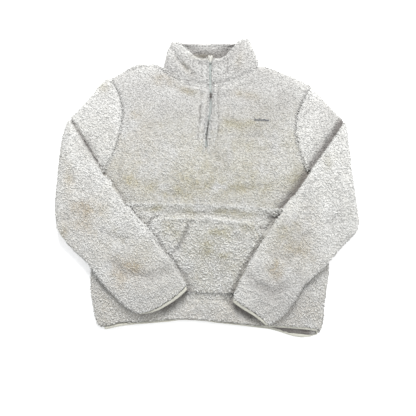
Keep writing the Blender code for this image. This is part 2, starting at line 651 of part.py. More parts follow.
def build_collar():
    """Two plies of cloth from one side of the zip, round behind the neck, to the other side."""
    middle = zip_line(table_at(NECK_FRONT, NECK_X) + COLLAR_GAP, COLLAR_FRONT_Y)
    fronts, wraps = {}, {}
    for side, sign, low_x, high_x in COLLAR_AXES:
        slit = slit_edge(middle, sign)
        axis_low = Vector((low_x, table_at(NECK_FRONT, low_x) + COLLAR_GAP))
        axis_high = Vector((high_x, table_at(COLLAR_FRONT_TOP, high_x)))
        axis = through((axis_low, axis_high))
        behind = through(((low_x, table_at(NECK_BACK, low_x) + BACK_NECK_GAP),
                          (high_x, table_at(COLLAR_BACK_TOP, high_x))))
        seam = graph(NECK_FRONT, low_x, slit(0).x, rise=COLLAR_GAP)
        rim = graph(COLLAR_FRONT_TOP, high_x, slit(1).x)
        fronts[side] = patch(seam, rim, axis, slit)
        wraps[side] = (axis, through(OUTLINES[side]["collar_edge"]), behind)
    (_, _, right_low, right_high), (_, _, left_low, left_high) = COLLAR_AXES
    back = patch(graph(NECK_BACK, right_low, left_low, rise=BACK_NECK_GAP),
                 graph(COLLAR_BACK_TOP, right_high, left_high), wraps["right"][2], wraps["left"][2])
    us = [u for u in steps(COLLAR_WIDTH, (8,), near=(2.5, 7.0)) if u < 0.94] + [1.0]
    columns = [("front", "right", 1 - u) for u in us]
    columns += [("wrap", "right", k / ROUND_STEPS) for k in range(1, ROUND_STEPS)]
    columns += [("back", "", k / COLLAR_BACK_STEPS) for k in range(COLLAR_BACK_STEPS + 1)]
    columns += [("wrap", "left", 1 - k / ROUND_STEPS) for k in range(1, ROUND_STEPS)]
    columns += [("front", "left", 1 - u) for u in reversed(us)]
    vs = steps(COLLAR_HEIGHT, (4,), near=(2.5, 7.0))
    radius = COLLAR_TOP / 2

    def place(column, row):
        part, side, u = columns[column]
        v = vs[row]
        rim = rounded((1 - v) * COLLAR_HEIGHT, COLLAR_REACH, COLLAR_DROP)
        seam = rounded(v * COLLAR_HEIGHT, SEAM_REACH, SEAM_DROP)
        if part == "wrap":
            axis, edge_line, behind = wraps[side]
            spot = axis(v).lerp(behind(v), u)
            out = edge_line(v) - axis(v).lerp(behind(v), 0.5)
            lost = max(rim, seam)
            spot = spot + out * (math.sin(math.pi * u) * (1 - lost / radius / 2))
            height = radius + (radius - lost / 2) * math.cos(math.pi * u)
            return (spot.x, spot.y, height), COLLAR_WALL - lost / 2
        if part == "back":
            spot = back(u, v)
            lost = max(rim, seam)
            return (spot.x, spot.y, lost / 2), COLLAR_WALL - lost / 2
        spot = fronts[side](u, v)
        slit = rounded((1 - u) * COLLAR_WIDTH, SEAM_REACH, SEAM_DROP)
        lost = max(rim, seam, slit)
        blend = smooth(u * 4)
        lost = lost * (0.5 + 0.5 * blend)
        height = COLLAR_TOP + (middle_lift(spot.y) + folds_at("collar", spot)) * blend - lost
        return (spot.x, spot.y, height), COLLAR_WALL - lost
    return cloth("collar", len(columns) - 1, len(vs) - 1, place, COLLAR_WALL, down=True)


def build_zip():
    """Two tapes under the edges of the slit, and the closed coil between them as one strip."""
    def strip(name, inner, outer, top, wall, look, start, end):
        middle = zip_line(start, end)

        def place(column, row):
            spot = middle(row / ZIP_STEPS)
            x = spot.x + inner + (outer - inner) * column
            return (x, spot.y, top + middle_lift(spot.y)), wall
        return cloth(name, 1, ZIP_STEPS, place, wall, look=look)

    foot, head = ZIP_FOOT - 13, COLLAR_FRONT_Y - 1
    strip("zip_tape_right", -TAPE_WIDTH, -SEAM_GAP / 2, TAPE_TOP, TAPE_WALL, TAPE, foot, head)
    strip("zip_tape_left", SEAM_GAP / 2, TAPE_WIDTH, TAPE_TOP, TAPE_WALL, TAPE, foot, head)
    coil_top = TAPE_TOP + SEAM_GAP + CHAIN_WALL
    strip("zip_chain", -CHAIN_WIDTH / 2, CHAIN_WIDTH / 2, coil_top, CHAIN_WALL, COIL,
          ZIP_FOOT + 1.5, SLIDER_FOOT - 1)


def raise_face(bm, face, height):
    """Extrudes a face straight up and gives the new face back."""
    made = bmesh.ops.extrude_face_region(bm, geom=[face])["geom"]
    verts = [e for e in made if isinstance(e, bmesh.types.BMVert)]
    bmesh.ops.translate(bm, verts=verts, vec=(0, 0, height))
    return next(e for e in made if isinstance(e, bmesh.types.BMFace))


def build_slider():
    """A Y-shaped slider: two shoulders, a narrow foot over the coil, and the crown on its top."""
    bm = bmesh.new()
    foot = bm.faces.new([bm.verts.new((x, y, 0)) for x, y in SLIDER_OUTLINE])
    plate = raise_face(bm, foot, SLIDER_WALL)
    bmesh.ops.inset_region(bm, faces=[plate], thickness=1.6)
    crown = raise_face(bm, plate, CROWN_HEIGHT)
    bmesh.ops.delete(bm, geom=[plate], context="FACES_ONLY")
    for vertex in crown.verts:
        vertex.co.x *= 0.5
        vertex.co.y = SLIDER_LENGTH / 2 + (vertex.co.y - SLIDER_LENGTH / 2) * 0.7
    bmesh.ops.recalc_face_normals(bm, faces=bm.faces)
    place = Vector((NECK_X, SLIDER_FOOT, TAPE_TOP + COLLAR_LIFT + SEAM_GAP))
    for vertex in bm.verts:
        vertex.co = (vertex.co + place) * MM
    slider = finished(bm, "zip_slider", SLIDER)
    bevel = slider.modifiers.new("Worn edges", "BEVEL")
    bevel.width = 0.4 * MM
    bevel.segments = 1
    bevel.limit_method = "ANGLE"


def centre_over_origin():
    """Moves every mesh so that the origin is under the middle of the garment."""
    bpy.context.view_layer.update()
    graph_now = bpy.context.evaluated_depsgraph_get()
    corners = [Vector(c) for obj in GARMENT.objects for c in obj.evaluated_get(graph_now).bound_box]
    low = Vector([min(c[k] for c in corners) for k in range(3)])
    high = Vector([max(c[k] for c in corners) for k in range(3)])
    shift = Vector((-(low.x + high.x) / 2, -(low.y + high.y) / 2, -low.z))
    for obj in GARMENT.objects:
        for vertex in obj.data.vertices:
            vertex.co += shift
        obj.data.update()


for old in list(bpy.data.objects):
    bpy.data.objects.remove(old)
GARMENT = bpy.data.collections.new("sherpa_fleece_pullover")
bpy.context.scene.collection.children.link(GARMENT)

build_back()
build_front_upper()
build_front_lower()
build_pocket()
for each_side in ("right", "left"):
    made = Sleeve(each_side)
    build_sleeve(made)
    build_cuff_binding(made)
build_collar()
build_hem_binding()
build_zip()
build_slider()
centre_over_origin()
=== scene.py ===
import math

import bmesh
import bpy
import numpy as np
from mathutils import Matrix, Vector
from mathutils.bvhtree import BVHTree


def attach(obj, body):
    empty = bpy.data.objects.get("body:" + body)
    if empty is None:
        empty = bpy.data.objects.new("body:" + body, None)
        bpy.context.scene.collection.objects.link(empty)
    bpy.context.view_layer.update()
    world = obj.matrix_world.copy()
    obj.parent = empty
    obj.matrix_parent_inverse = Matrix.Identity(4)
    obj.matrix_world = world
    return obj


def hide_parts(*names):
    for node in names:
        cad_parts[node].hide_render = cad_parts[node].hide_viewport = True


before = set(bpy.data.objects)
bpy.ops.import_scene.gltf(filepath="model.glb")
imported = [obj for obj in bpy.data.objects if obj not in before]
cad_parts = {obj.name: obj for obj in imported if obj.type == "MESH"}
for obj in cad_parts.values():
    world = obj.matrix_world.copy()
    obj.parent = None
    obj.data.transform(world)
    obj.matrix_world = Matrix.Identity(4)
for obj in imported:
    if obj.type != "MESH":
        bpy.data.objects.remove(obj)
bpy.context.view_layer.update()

MM = 0.001
DRAW = np.random.default_rng(11)

# The tables give places as they were before the garment was centred over the origin: this is
# how far it moved, in mm
CENTRED = (0.964, 1.26)


# -------- materials

class Value:
    """A socket of a material, with arithmetic that adds Math nodes."""

    def __init__(self, tree, socket):
        self.tree, self.socket = tree, socket

    def _maths(self, operation, *terms):
        node = self.tree.nodes.new("ShaderNodeMath")
        node.operation = operation
        for slot, term in zip(node.inputs, terms):
            feed(self.tree, slot, term)
        return Value(self.tree, node.outputs[0])

    def __sub__(self, other):
        return self._maths("SUBTRACT", self, other)

    def __rsub__(self, other):
        return self._maths("SUBTRACT", other, self)

    def __mul__(self, other):
        return self._maths("MULTIPLY", self, other)

    __rmul__ = __mul__


def feed(tree, slot, term):
    """Links a Value to a socket, or sets the socket's own number."""
    if isinstance(term, Value):
        tree.links.new(term.socket, slot)
    elif isinstance(term, tuple) and len(term) == 3 and len(slot.default_value) == 4:
        slot.default_value = (*term, 1)
    else:
        slot.default_value = term


class Finish:
    """A material on one Principled shader."""

    def __init__(self, name, sockets):
        self.material = bpy.data.materials.new(name)
        self.material.use_nodes = True
        self.tree = self.material.node_tree
        self.shader = self.tree.nodes["Principled BSDF"]
        self.set(sockets)

    def set(self, sockets):
        for title, value in sockets.items():
            feed(self.tree, self.shader.inputs[title], value)

    def node(self, kind, sockets, settings=None, output=0):
        made = self.tree.nodes.new("ShaderNode" + kind)
        for key, value in (settings or {}).items():
            setattr(made, key, value)
        for title, value in sockets.items():
            feed(self.tree, made.inputs[title], value)
        return Value(self.tree, made.outputs[output])

    def place(self):
        return self.node("TexCoord", {}, output="Object")

    def attribute(self, name):
        return self.node("Attribute", {}, {"attribute_name": name}, output="Fac")

    def noise(self, size, detail=2.0, roughness=0.5):
        """Clouds of about this size in mm."""
        return self.node("TexNoise", {"Vector": self.place(), "Scale": 1 / (size * MM), "Detail": detail,
                                      "Roughness": roughness})

    def clumps(self, size):
        """Rounded clumps of about this size in mm: 1 on top of each, less between them."""
        sockets = {"Vector": self.place(), "Scale": 1 / (size * MM)}
        return 1 - self.node("TexVoronoi", sockets, output="Distance")

    def ribs(self, pitch, run):
        """Bands this far apart in mm along a run, from 0 to 1."""
        sockets = {"Vector": run, "Scale": math.pi / (10 * pitch * MM)}
        return self.node("TexWave", sockets, {"bands_direction": "X", "wave_profile": "SIN"}, output="Fac")

    def ramp(self, value, low, high):
        """The value stretched so that low gives 0 and high gives 1."""
        return self.node("MapRange", {"Value": value, "From Min": low, "From Max": high})

    def mix(self, share, first, second):
        """The second colour over the first, by this share: 0, 6 and 7 are a Mix node's colour sockets."""
        return self.node("Mix", {0: share, 6: first, 7: second}, {"data_type": "RGBA"}, output=2)

    def bump(self, height, depth, under=None):
        """A bump this deep in mm, on top of another one if given."""
        sockets = {"Height": height, "Distance": depth * MM}
        if under:
            sockets["Normal"] = under
        return self.node("Bump", sockets)


# The deep and hollow wool colours are painted shade between the curls and clumps; the shaded wool colour is
# painted shade in furrows, troughs, seams, the slit and patches
WOOL_WHITE, WOOL_CREAM, WOOL_DEEP_SHADE = (0.848, 0.848, 0.833), (0.628, 0.628, 0.615), (0.408, 0.400, 0.386)
WOOL_HOLLOW_SHADE, WOOL_SHADED = (0.70, 0.695, 0.675), (0.14, 0.122, 0.115)
WOOL_BEIGE, WOOL_TAN = (0.546, 0.535, 0.435), (0.399, 0.366, 0.27)
WOOL_ROSY, WOOL_BROWN = (0.575, 0.525, 0.435), (0.425, 0.362, 0.276)
RIB_CREAM, TAPE_CREAM, COIL_MINT = (0.64, 0.63, 0.555), (0.70, 0.71, 0.69), (0.74, 0.80, 0.78)
ENAMEL_CREAM, NAVY = (0.56, 0.55, 0.51), (0.05, 0.065, 0.095)
CLUMP_WIDTH = 3.6


def fleece(name, pile):
    """Cream pile with painted shade between the curls and clumps and in its furrows, troughs and seams, beige
    where its nap is worn.
    """
    finish = Finish(name, {"Roughness": 0.92, "Specular IOR Level": 0.12, "Sheen Weight": 0.1,
                           "Sheen Roughness": 0.6})
    nap, rosy, fair = (finish.attribute(title) for title in ("nap", "rosy", "fair"))
    # Painted shade in the hollows between the curls and clumps: lighter where the cloth is fair, tan or brown
    # where its nap is worn
    hollow_shade = finish.mix(fair, WOOL_DEEP_SHADE, WOOL_HOLLOW_SHADE)
    hollow_shade = finish.mix(finish.ramp(nap, 0.0, 0.9), hollow_shade, finish.mix(rosy, WOOL_TAN, WOOL_BROWN))
    if pile:
        wool, most_worn = finish.mix(finish.attribute("curl"), WOOL_CREAM, WOOL_WHITE), 0.75
        raised = finish.ramp(finish.attribute("tip"), 0.0, 0.5)
        lumps = finish.bump(finish.noise(1.6, 2.0, 0.6), 0.5)
    else:
        wool, most_worn = finish.mix(fair, WOOL_CREAM, WOOL_WHITE), 0.9
        clump = finish.clumps(CLUMP_WIDTH)
        raised, lumps = finish.ramp(clump, 0.35, 0.8), finish.bump(clump, 1.6)
    wool = finish.mix(nap * most_worn, wool, finish.mix(rosy, WOOL_BEIGE, WOOL_ROSY))
    # Painted shade: the furrows, troughs, seams, slit and patches mix the pile toward the shaded colour
    wool = finish.mix(finish.attribute("painted_shade"), finish.mix(raised, hollow_shade, wool), WOOL_SHADED)
    finish.set({"Base Color": wool, "Normal": finish.bump(finish.noise(0.6, 3.0, 0.7), 0.3, under=lumps)})
    return finish.material


BACKING = fleece("sherpa_backing", pile=False)
CURLS = fleece("sherpa_curls", pile=True)


# -------- tables of the garment, in mm

# Troughs and ridges of the cloth: half-width, height, then the line along it
CREASES = {
    "front_upper": (
        (5, -2.6, (-206, 55), (-211, 34), (-214, 12), (-216, -5)),
        (9, 2, (-192, 62), (-194, 24), (-182, -14)), (10, -1.5, (-161, 5), (-118, -14), (-50, -24)),
        (10, -2, (36, -14), (91, -10), (146, 0)), (10, -1.5, (-156, 86), (-137, 48)),
        (10, 2.2, (-108, 268), (-96, 262), (-77, 250), (-53, 238), (-29, 232), (-2, 230)),
        (10, 2.2, (16, 230), (43, 233), (79, 247), (103, 261), (124, 276)),
        (4, 1.4, (-7, 228), (-9, 180), (-13, 130), (-16, 108)),
        (4, 1.4, (22, 228), (21, 180), (21, 146), (20, 112)), (8, -1.2, (36, 163), (79, 144)),
        (6, -1, (79, 115), (163, 118)), (7, -1, (132, 86), (187, 96)),
        (9, -1.5, (19, 74), (50, 50)), (4, 1.2, (-190, -42), (-101, -42), (-5, -43), (79, -49), (182, -55)),
        (2, -1.6, (-13, 232), (-17, 190), (-18, 160), (-20, 130), (-23, 108)),
        (5, 1.6, (-20, 106), (-10, 86), (0, 80), (10, 86), (20, 106)),
        (2, -1.4, (27, 230), (26, 182), (28, 146), (26, 114)),
    ),
    "front_lower": (
        (7, -1.5, (-150, -64), (-80, -62), (0, -63), (60, -67), (120, -76)),
        (3.5, -1.6, (-60, -271), (-41, -271), (19, -271), (70, -278)), (8, -2.2, (-74, -272), (-36, -288)),
        (7, -2, (41, -269), (79, -283)), (9, -3.5, (-252, -226), (-233, -266)),
        (10, -3, (266, -197), (228, -245), (196, -276)), (8, 1.5, (-20, -296), (30, -290)),
        (14, 7, (-266, -216), (-249, -238), (-225, -265), (-196, -288), (-170, -306)),
        (14, 7, (158, -326), (184, -303), (211, -270), (236, -238), (264, -208)),
    ),
    "kangaroo_pocket": (
        (4, 1.4, (-118, -80), (-89, -79), (-53, -79), (-17, -79), (19, -82), (55, -86), (110, -92)),
        (6, -4.2, (-42, -82), (-46, -96), (-55, -124), (-71, -150), (-86, -168)),
        (5, 3, (-56, -92), (-63, -112), (-76, -138), (-92, -158)), (7, 1.5, (96, -86), (118, -125)),
        (8, -1.5, (60, -110), (79, -137)), (6, 1.2, (-110, -100), (-128, -128)),
    ),
    "collar": (
        (6, -2.8, (-102, 285), (-94, 275), (-77, 263), (-53, 251), (-29, 245), (8, 242), (43, 246),
         (79, 260), (103, 274), (122, 291)),
        (5, -3.4, (-86, 331), (-74, 307), (-55, 286), (-26, 262)), (3.5, -2, (-101, 288), (-84, 271)),
        (6, 1.2, (-70, 322), (-41, 288)), (3, -2, (50, 298), (46, 269)),
        (7, -1.2, (79, 302), (74, 264)), (2, -1.6, (-12, 300), (-12, 254)),
    ),
    "sleeve_right": (
        (8, -2.2, (-377, -84), (-348, -82), (-314, -67)), (8, -1.1, (-286, -53), (-252, -62)),
        (8, -2, (-257, -101), (-214, -125), (-166, -125)),
        (12, -3.2, (-228, -182), (-190, -209), (-137, -216), (-98, -202)),
        (9, 2, (-180, -262), (-125, -250), (-70, -221)), (9, -1.8, (-324, 50), (-317, -5)),
    ),
    "sleeve_left": (
        (7, -1.5, (235, 2), (266, 14)), (8, -1.5, (214, -130), (247, -110)),
        (9, -2, (146, -158), (190, -173), (223, -154)),
        (13, -3.6, (86, -197), (118, -235), (156, -254), (194, -235)), (5, -1.8, (96, -250), (106, -258)),
        (7, 2, (132, -302), (161, -283)), (8, -1.6, (286, -94), (314, -70)),
        (8, -1.2, (295, -10), (334, -24)),
    ),
    "back_panel": (
        (12, -2.6, (-180, 210), (-120, 150), (-90, 60)), (9, -2, (150, 230), (110, 160), (96, 90)),
        (14, -3, (-200, -20), (-110, -52), (-20, -40)), (10, -2.2, (40, 10), (120, -16), (190, 8)),
        (8, -1.8, (-60, 20), (-30, -30), (-44, -90)), (13, -2.8, (180, -120), (120, -170), (60, -240)),
        (9, -2, (-220, -150), (-160, -200), (-120, -280)), (7, -1.6, (0, -180), (30, -230), (10, -290)),
        (11, -2.2, (-20, 200), (20, 150), (10, 90)),
    ),
}

# Where one piece lies on another, its edge presses a furrow into the pile beside it: half-width and
# depth of the furrow, half-width and darkness of the painted shade on the flat pile in it, then the line
FURROWS = {
    "over_sleeves": (
        (5, -2, 2.6, 0.8, (-330, 162), (-311, 136), (-271, 72), (-244, 28)),
        (5, -1.2, 2.6, 0.46, (-244, 28), (-213, -10), (-187, -51), (-124, -120),
         (-95, -161), (-67, -196), (-52, -216), (-42, -246)),
        (20, -2.4, 8, 0.68, (-45, -249), (-64, -268), (-89, -285), (-106, -295)),
        (14, -1.6, 6, 0.25, (-106, -295), (-137, -307), (-158, -309)),
        (10, -1.2, 5, 0, (-158, -309), (-178, -304), (-197, -291), (-221, -268), (-245, -244),
         (-266, -214)),
        (22, -2.4, 12, 0.72, (331, 159), (322, 152), (304, 121), (283, 92), (251, 47), (220, -1),
         (160, -81)),
        (10, -1.8, 5, 0.5, (160, -81), (136, -119), (91, -191), (76, -220), (62, -253), (56, -275)),
        (26, -0.5, 26, 0.14, (325, 165), (304, 130), (283, 101), (251, 56), (220, 8), (160, -72)),
        (18, -2.4, 8, 0.66, (57, -278), (82, -297), (104, -311)),
        (10, -1.8, 5, 0.1, (104, -311), (116, -318), (140, -338)),
        (10, -1.2, 5, 0.06, (142, -338), (176, -321), (199, -295), (218, -268), (232, -242), (259, -216)),
    ),
    "pocket_edge": (
        (7, -1.8, 3, 0.45, (-163, -252), (-163, -182), (-153, -137), (-144, -106), (-135, -84),
         (-123, -74)),
        (7, -1.6, 3.4, 0.55, (128, -98), (134, -108), (142, -130), (160, -182)),
        (6, -1, 2.4, 0.16, (-122, -70), (-89, -68), (-53, -68), (-17, -68), (19, -71), (55, -75),
         (95, -79)),
    ),
    "collar_rim": (
        (12, -3.2, 5, 0.55, (-72, 340), (-64, 337), (-49, 326), (-35, 315), (-23, 308), (8, 306), (35, 307),
         (47, 315), (61, 331), (74, 344)),
        (20, -1, 22, 0.42, (-60, 336), (-30, 318), (8, 312), (40, 318), (62, 338)),
    ),
    "placket": (
        (3, -1, 1.6, 0.3, (-13, 300), (-13, 232), (-17, 190), (-18, 160), (-20, 130), (-23, 112)),
        (3, -1, 1.6, 0.28, (30, 290), (27, 230), (26, 182), (28, 146), (26, 120)),
        (12, -0.5, 9, 0.12, (-1, 96), (-2, 110), (3, 144), (5, 156)),
    ),
    "collar_fold": (
        (9, -0.6, 9, 0.17, (-82, 332), (-66, 318), (-50, 303), (-30, 295), (-8, 294)),
        (9, -0.6, 9, 0.14, (24, 294), (42, 296), (58, 306), (70, 322), (84, 338)),
        (16, -0.3, 18, 0.1, (-100, 300), (-60, 280), (-28, 268)),
    ),
    "collar_stitching": (
        (3, -0.8, 1.5, 0.25, (-13, 304), (-13, 254)), (3, -0.8, 1.5, 0.2, (30, 300), (30, 250)),
        (4, -1, 2, 0.22, (50, 300), (47, 268)),
    ),
    "pocket_fold": ((4, -0.8, 2.6, 0.26, (-46, -96), (-55, -124), (-71, -150)),),
    "hem_opening": ((10, -0.2, 16, 0.85, (140, -338), (200, -346), (240, -350)),),
    "under_yoke": ((10, -0.8, 9, 0.05, (-190, -60), (-101, -61), (-5, -62), (79, -66), (170, -74)),),
}

# Seams between two panels: how deep the curls over one sit, how far apart they are, how wide they
# spread, how much painted shade lies along the seam, then the line
SEAMS = (
    (1.3, 0.4, 4.2, 0, (-196, -45), (-101, -46), (-5, -47), (79, -53), (180, -60)),
    (1.3, 0.55, 2.6, 0.2, (-227, 256), (-216, 235), (-207, 216), (-201, 195), (-199, 176), (-202, 154),
     (-214, 104), (-226, 74), (-254, 29)),
    (1.3, 0.55, 2.6, 0.28, (246, 238), (234, 215), (223, 195), (215, 174), (211, 149), (212, 122),
     (218, 98), (228, 70), (242, 38)),
    (1.2, 0.6, 3, 0.2, (-48, -254), (60, -257)),
    # The corner where the yoke's seam runs in under the left sleeve, with painted shade from the sleeve's
    # edge
    (1.3, 0.5, 4, 0.35, (146, -66), (158, -68), (166, -71)),
)
# The half-width of a seam's shade, how far aside of it the height of its curls is taken, and the
# height from which the top ply has no such curls
SEAM_WIDTH, SEAM_REACH, TOP_PLY = 1.5, 6, 19

# Rims where white pile stands up, in the same way, but with how far aside their height is taken in
# place of the darkness
RIMS = (
    (0.1, 0.8, 4.2, 6, (-104, 283), (-95, 272), (-77, 260), (-53, 248), (-29, 242), (-2, 240)),
    (0.1, 0.8, 4.2, 6, (18, 240), (43, 243), (79, 257), (103, 271), (123, 288)),
    (0.4, 0.7, 1.8, 0, (-190, -43), (-101, -44), (-5, -45), (79, -51), (178, -57)),
    (0.9, 0.9, 2, 0, (-8, 226), (-10, 190), (-13, 130), (-17, 108), (-9, 90), (0, 84)),
    (0.9, 0.9, 2, 0, (22, 226), (22, 182), (22, 146), (20, 114), (12, 92), (4, 86)),
    (0.6, 0.8, 1.6, 0, (-112, -81), (-89, -79), (-53, -79), (-17, -79), (19, -82), (55, -86), (104, -91)),
    (0.6, 0.5, 3.4, 0, (104, -91), (113, -96), (121, -107), (129, -130)),
    (0.6, 0.5, 3.4, 0, (-112, -81), (-124, -88), (-132, -102), (-140, -122)),
)
# What share of a crease's height its ends have, and how much its middle adds
CREASE_END, CREASE_REST = 0.35, 0.65
# How much painted shade a trough gets for each mm of its depth, and at most
CREASE_SHADE, MOST_CREASE_SHADE = 0.07, 0.25

# Beige, worn nap: place, half-lengths, strength, then its turn in degrees if it has one
NAP = (
    (-108, 254, 24, 12, 1.1), (-72, 238, 28, 8, 0.8, -25), (82, 303, 14, 22, 0.5, -20),
    (-52, 284, 28, 8, 0.5, -40), (-10, 312, 24, 7, 0.9), (-40, 225, 22, 7, 0.6, -8),
    (91, 218, 30, 9, 0.7, -10), (-100, 147, 16, 10, 0.5), (-178, 170, 20, 12, 0.5, 30),
    (-156, 67, 16, 12, 0.7), (-178, 14, 15, 13, 1.1), (-84, -16, 36, 11, 0.9, -4), (-120, 2, 30, 12, 0.4, 10),
    (36, 2, 44, 14, 0.8, -6), (122, -5, 34, 10, 0.6, 4), (139, 98, 22, 12, 0.5, 10),
    (60, 151, 24, 11, 0.9, -8), (96, 150, 18, 9, 0.6), (30, 130, 20, 8, 0.5), (216, 26, 14, 26, 0.8, -30),
    (-246, 235, 16, 14, 0.6), (-329, 26, 12, 34, 0.7, 5), (-306, -50, 34, 26, 0.36),
    (-223, -106, 24, 12, 0.5, -30), (-199, -132, 20, 12, 0.45), (-262, -62, 20, 12, 0.4),
    (-290, -96, 30, 16, 0.4, -30), (228, -163, 30, 12, 0.5, -30), (190, -110, 30, 16, 0.4, 60),
    (40, -166, 22, 9, 0.6), (-7, -156, 20, 9, 0.6), (-341, -110, 10, 18, 0.6), (-270, -60, 30, 20, 0.4, -30),
    (-218, -208, 32, 18, 0.7, -55), (-180, -190, 30, 12, 0.5, -20), (163, -197, 18, 24, 1, 20),
    (200, -120, 52, 42, 0.55, 60), (240, -60, 26, 30, 0.3), (290, 58, 16, 26, 0.4),
    (-118, -54, 22, 9, 0.9, 6), (36, -62, 30, 8, 0.9), (91, -68, 24, 8, 1, -5), (-40, -62, 20, 7, 0.5),
    (20, -112, 20, 10, 0.8, -8), (60, -116, 26, 12, 0.8, -8), (60, -98, 14, 7, 0.8),
    (91, -100, 20, 9, 0.7, -4), (0, -140, 20, 9, 0.6), (-84, -104, 18, 22, 0.45, 20),
    (-20, -150, 40, 26, 0.3), (200, -175, 60, 50, 0.25, 40), (-160, -200, 60, 45, 0.25, -35),
    (40, 20, 120, 50, 0.22), (120, 130, 60, 40, 0.2), (-60, -20, 90, 30, 0.2), (-250, -110, 60, 40, 0.1, -40),
)
# Where the worn pile is rosier, in the same way
ROSY = (
    (-300, -60, 70, 170, 1), (-190, -220, 90, 70, 1), (170, -240, 80, 90, 1), (260, -120, 60, 90, 0.5),
    (-100, 250, 70, 40, 0.9), (90, 215, 60, 30, 0.6), (80, 300, 40, 40, 0.6), (-200, 160, 60, 80, 0.6),
    (-150, 100, 60, 120, 0.3), (0, -310, 260, 40, 0.9),
)

# Patches of painted shade, or painted light under 0, in the same way, and how uneven the pile's tone is in
# general
PAINTED_SHADE_AND_LIGHT = (
    (175, -245, 60, 48, 0.15, 40), (205, -120, 50, 40, 0.18, 60), (-150, -240, 64, 40, 0.07, -35),
    (235, -292, 50, 40, 0.14), (-230, -290, 40, 50, 0.02), (115, 140, 80, 60, 0.15),
    (-110, 170, 80, 70, 0.07), (290, 180, 50, 50, 0.14), (180, 200, 60, 50, 0.17), (0, 30, 140, 60, 0.04),
    (0, 290, 140, 40, 0.09), (90, 290, 40, 40, 0.03), (16, 316, 74, 20, 0.05), (0, 240, 320, 90, 0.12),
    (-262, 150, 50, 50, 0.05), (265, 158, 44, 44, 0.05), (-101, 158, 70, 50, 0.04), (-150, 240, 50, 40, 0.05),
    (30, -130, 90, 60, 0.02), (82, 322, 34, 26, 0.18), (134, 262, 26, 24, 0.18), (95, 209, 40, 26, 0.12),
    (-50, 209, 50, 22, 0.06), (-288, 103, 24, 24, 0.19), (-235, 209, 24, 24, 0.06), (-342, 40, 20, 60, -0.06),
    (29, 103, 24, 24, 0.09), (16, -50, 30, 24, 0.05), (240, -28, 26, 44, 0.12), (-182, -2, 26, 24, -0.16),
    (-235, 76, 22, 44, -0.07), (-130, -55, 22, 16, -0.06), (-104, -2, 44, 20, -0.08),
    (-288, -55, 26, 26, -0.15), (346, -108, 20, 26, -0.08), (-288, -161, 20, 24, -0.08),
    (-130, -108, 22, 26, 0.08), (-24, -161, 30, 26, 0.07), (240, -161, 26, 26, 0.09),
    (-182, -214, 30, 22, -0.1), (-66, -216, 42, 26, 0.19), (134, -214, 26, 26, 0.1),
    (134, -270, 30, 26, 0.12), (-235, -290, 50, 24, -0.08), (0, -246, 60, 9, 0.06), (0, -280, 70, 14, -0.12),
    (-180, -318, 46, 16, -0.12), (220, -214, 40, 20, 0.05),
)
UNEVEN, UNEVEN_SIZES = 0.11, (46, 20)
# Toward the collar the curls get shorter, and the nap is less beige in general: y, then share
CURLS_SHORTER = ((-260, 1.04), (0, 1), (80, 0.97), (160, 0.88), (300, 0.88))
NAP_FADE = ((120, 1), (230, 0.15))
# For each mm toward the collar, how much lighter the cloth gets and how much rarer its white curls
FAIR_RISE, CURL_RISE = 0.0012, 0.0005
# How strongly the nap's patches show, and the clouds that break them up: size, salt, share
NAP_STRENGTH, NAP_CONTRAST, NAP_FLOOR = 0.9, 3, 0.8
NAP_CLOUDS = ((48, 7, 0.3), (24, 4, 0.3), (11, 5, 0.25), (5, 6, 0.15))

# Where the slit over the coil stands open: y, half its width, how much painted shade its lips have and
# how widely, then half its width below these rows
SLIT = (
    (80, 0.2, 0.1, 1.5), (90, 1.4, 0.2, 1.5), (100, 1.3, 0.35, 1.5), (108, -1.2, 0.65, 1.5),
    (114, -2, 0.8, 1.7), (148, -2, 0.8, 1.5), (155, -0.5, 0.5, 1.5), (162, 1, 0.2, 1.5),
    (200, 1.3, 0.15, 1.5), (208, 0.8, 0.4, 2.2), (213, -2, 0.85, 2.8), (220, -2, 0.85, 2.6),
    (225, 0.8, 0.3, 1.8), (232, 1.8, 0.1, 1.5), (240, 2.2, 0.05, 1.5), (300, 2.6, 0, 1.5),
)
SLIT_Y, SLIT_HALF, SLIT_SHADE, SLIT_SHADE_WIDTH = zip(*SLIT)
SLIT_BELOW = -2.0
# How near the slit curls are parted, how wide it is then at least, and the height they lie over
PART_WITHIN, PART_OPEN, PART_ABOVE = 9, -1, 7
# Curls of its lips: how far from its middle and how unevenly, how far apart, how far under the panel
# at which distance beside them, and how far they lean over
LIP_FOOT, LIP_SPREAD, LIP_SPACING, LIP_DEPTH, LIP_REACH, LIP_LEAN = 4.4, (-0.8, 2.2), 0.42, 1.4, 5, 0.55

# Where the pile starts and stops to hang over the hem's binding, and the hem's outline there: x, y
HEM_COVER = (-195, -178, 130, 150)
HEM_FRINGE = (
    (-190, -328), (-180, -326), (-151, -323), (-122, -320), (-94, -318), (-65, -314), (-36, -316),
    (-7, -318), (22, -323), (50, -326), (79, -329), (108, -331), (145, -334),
)
FRINGE_SPACING, FRINGE_SPREAD, FRINGE_HEIGHTS, SWING = 0.6, (-1, 1.5), (4, 12.5), (-0.3, 0.3)
# How far the front's wall stands out over a bare binding, between which y the back's hem gapes and the
# sides flare, and how far they do at the wearer's right and left
BARE_HEM, BACK_HEM, HEM_FLARE_FROM, HEM_FLARE = 2.6, (-336, -300), (-312, -285), (1, 4)
# The back panel bears curls below the first y only outside the two x, and none below the second y
INSIDE_HEM, HEM_ENDS, LOWEST_ROOT = -300, (-238, 262), -338
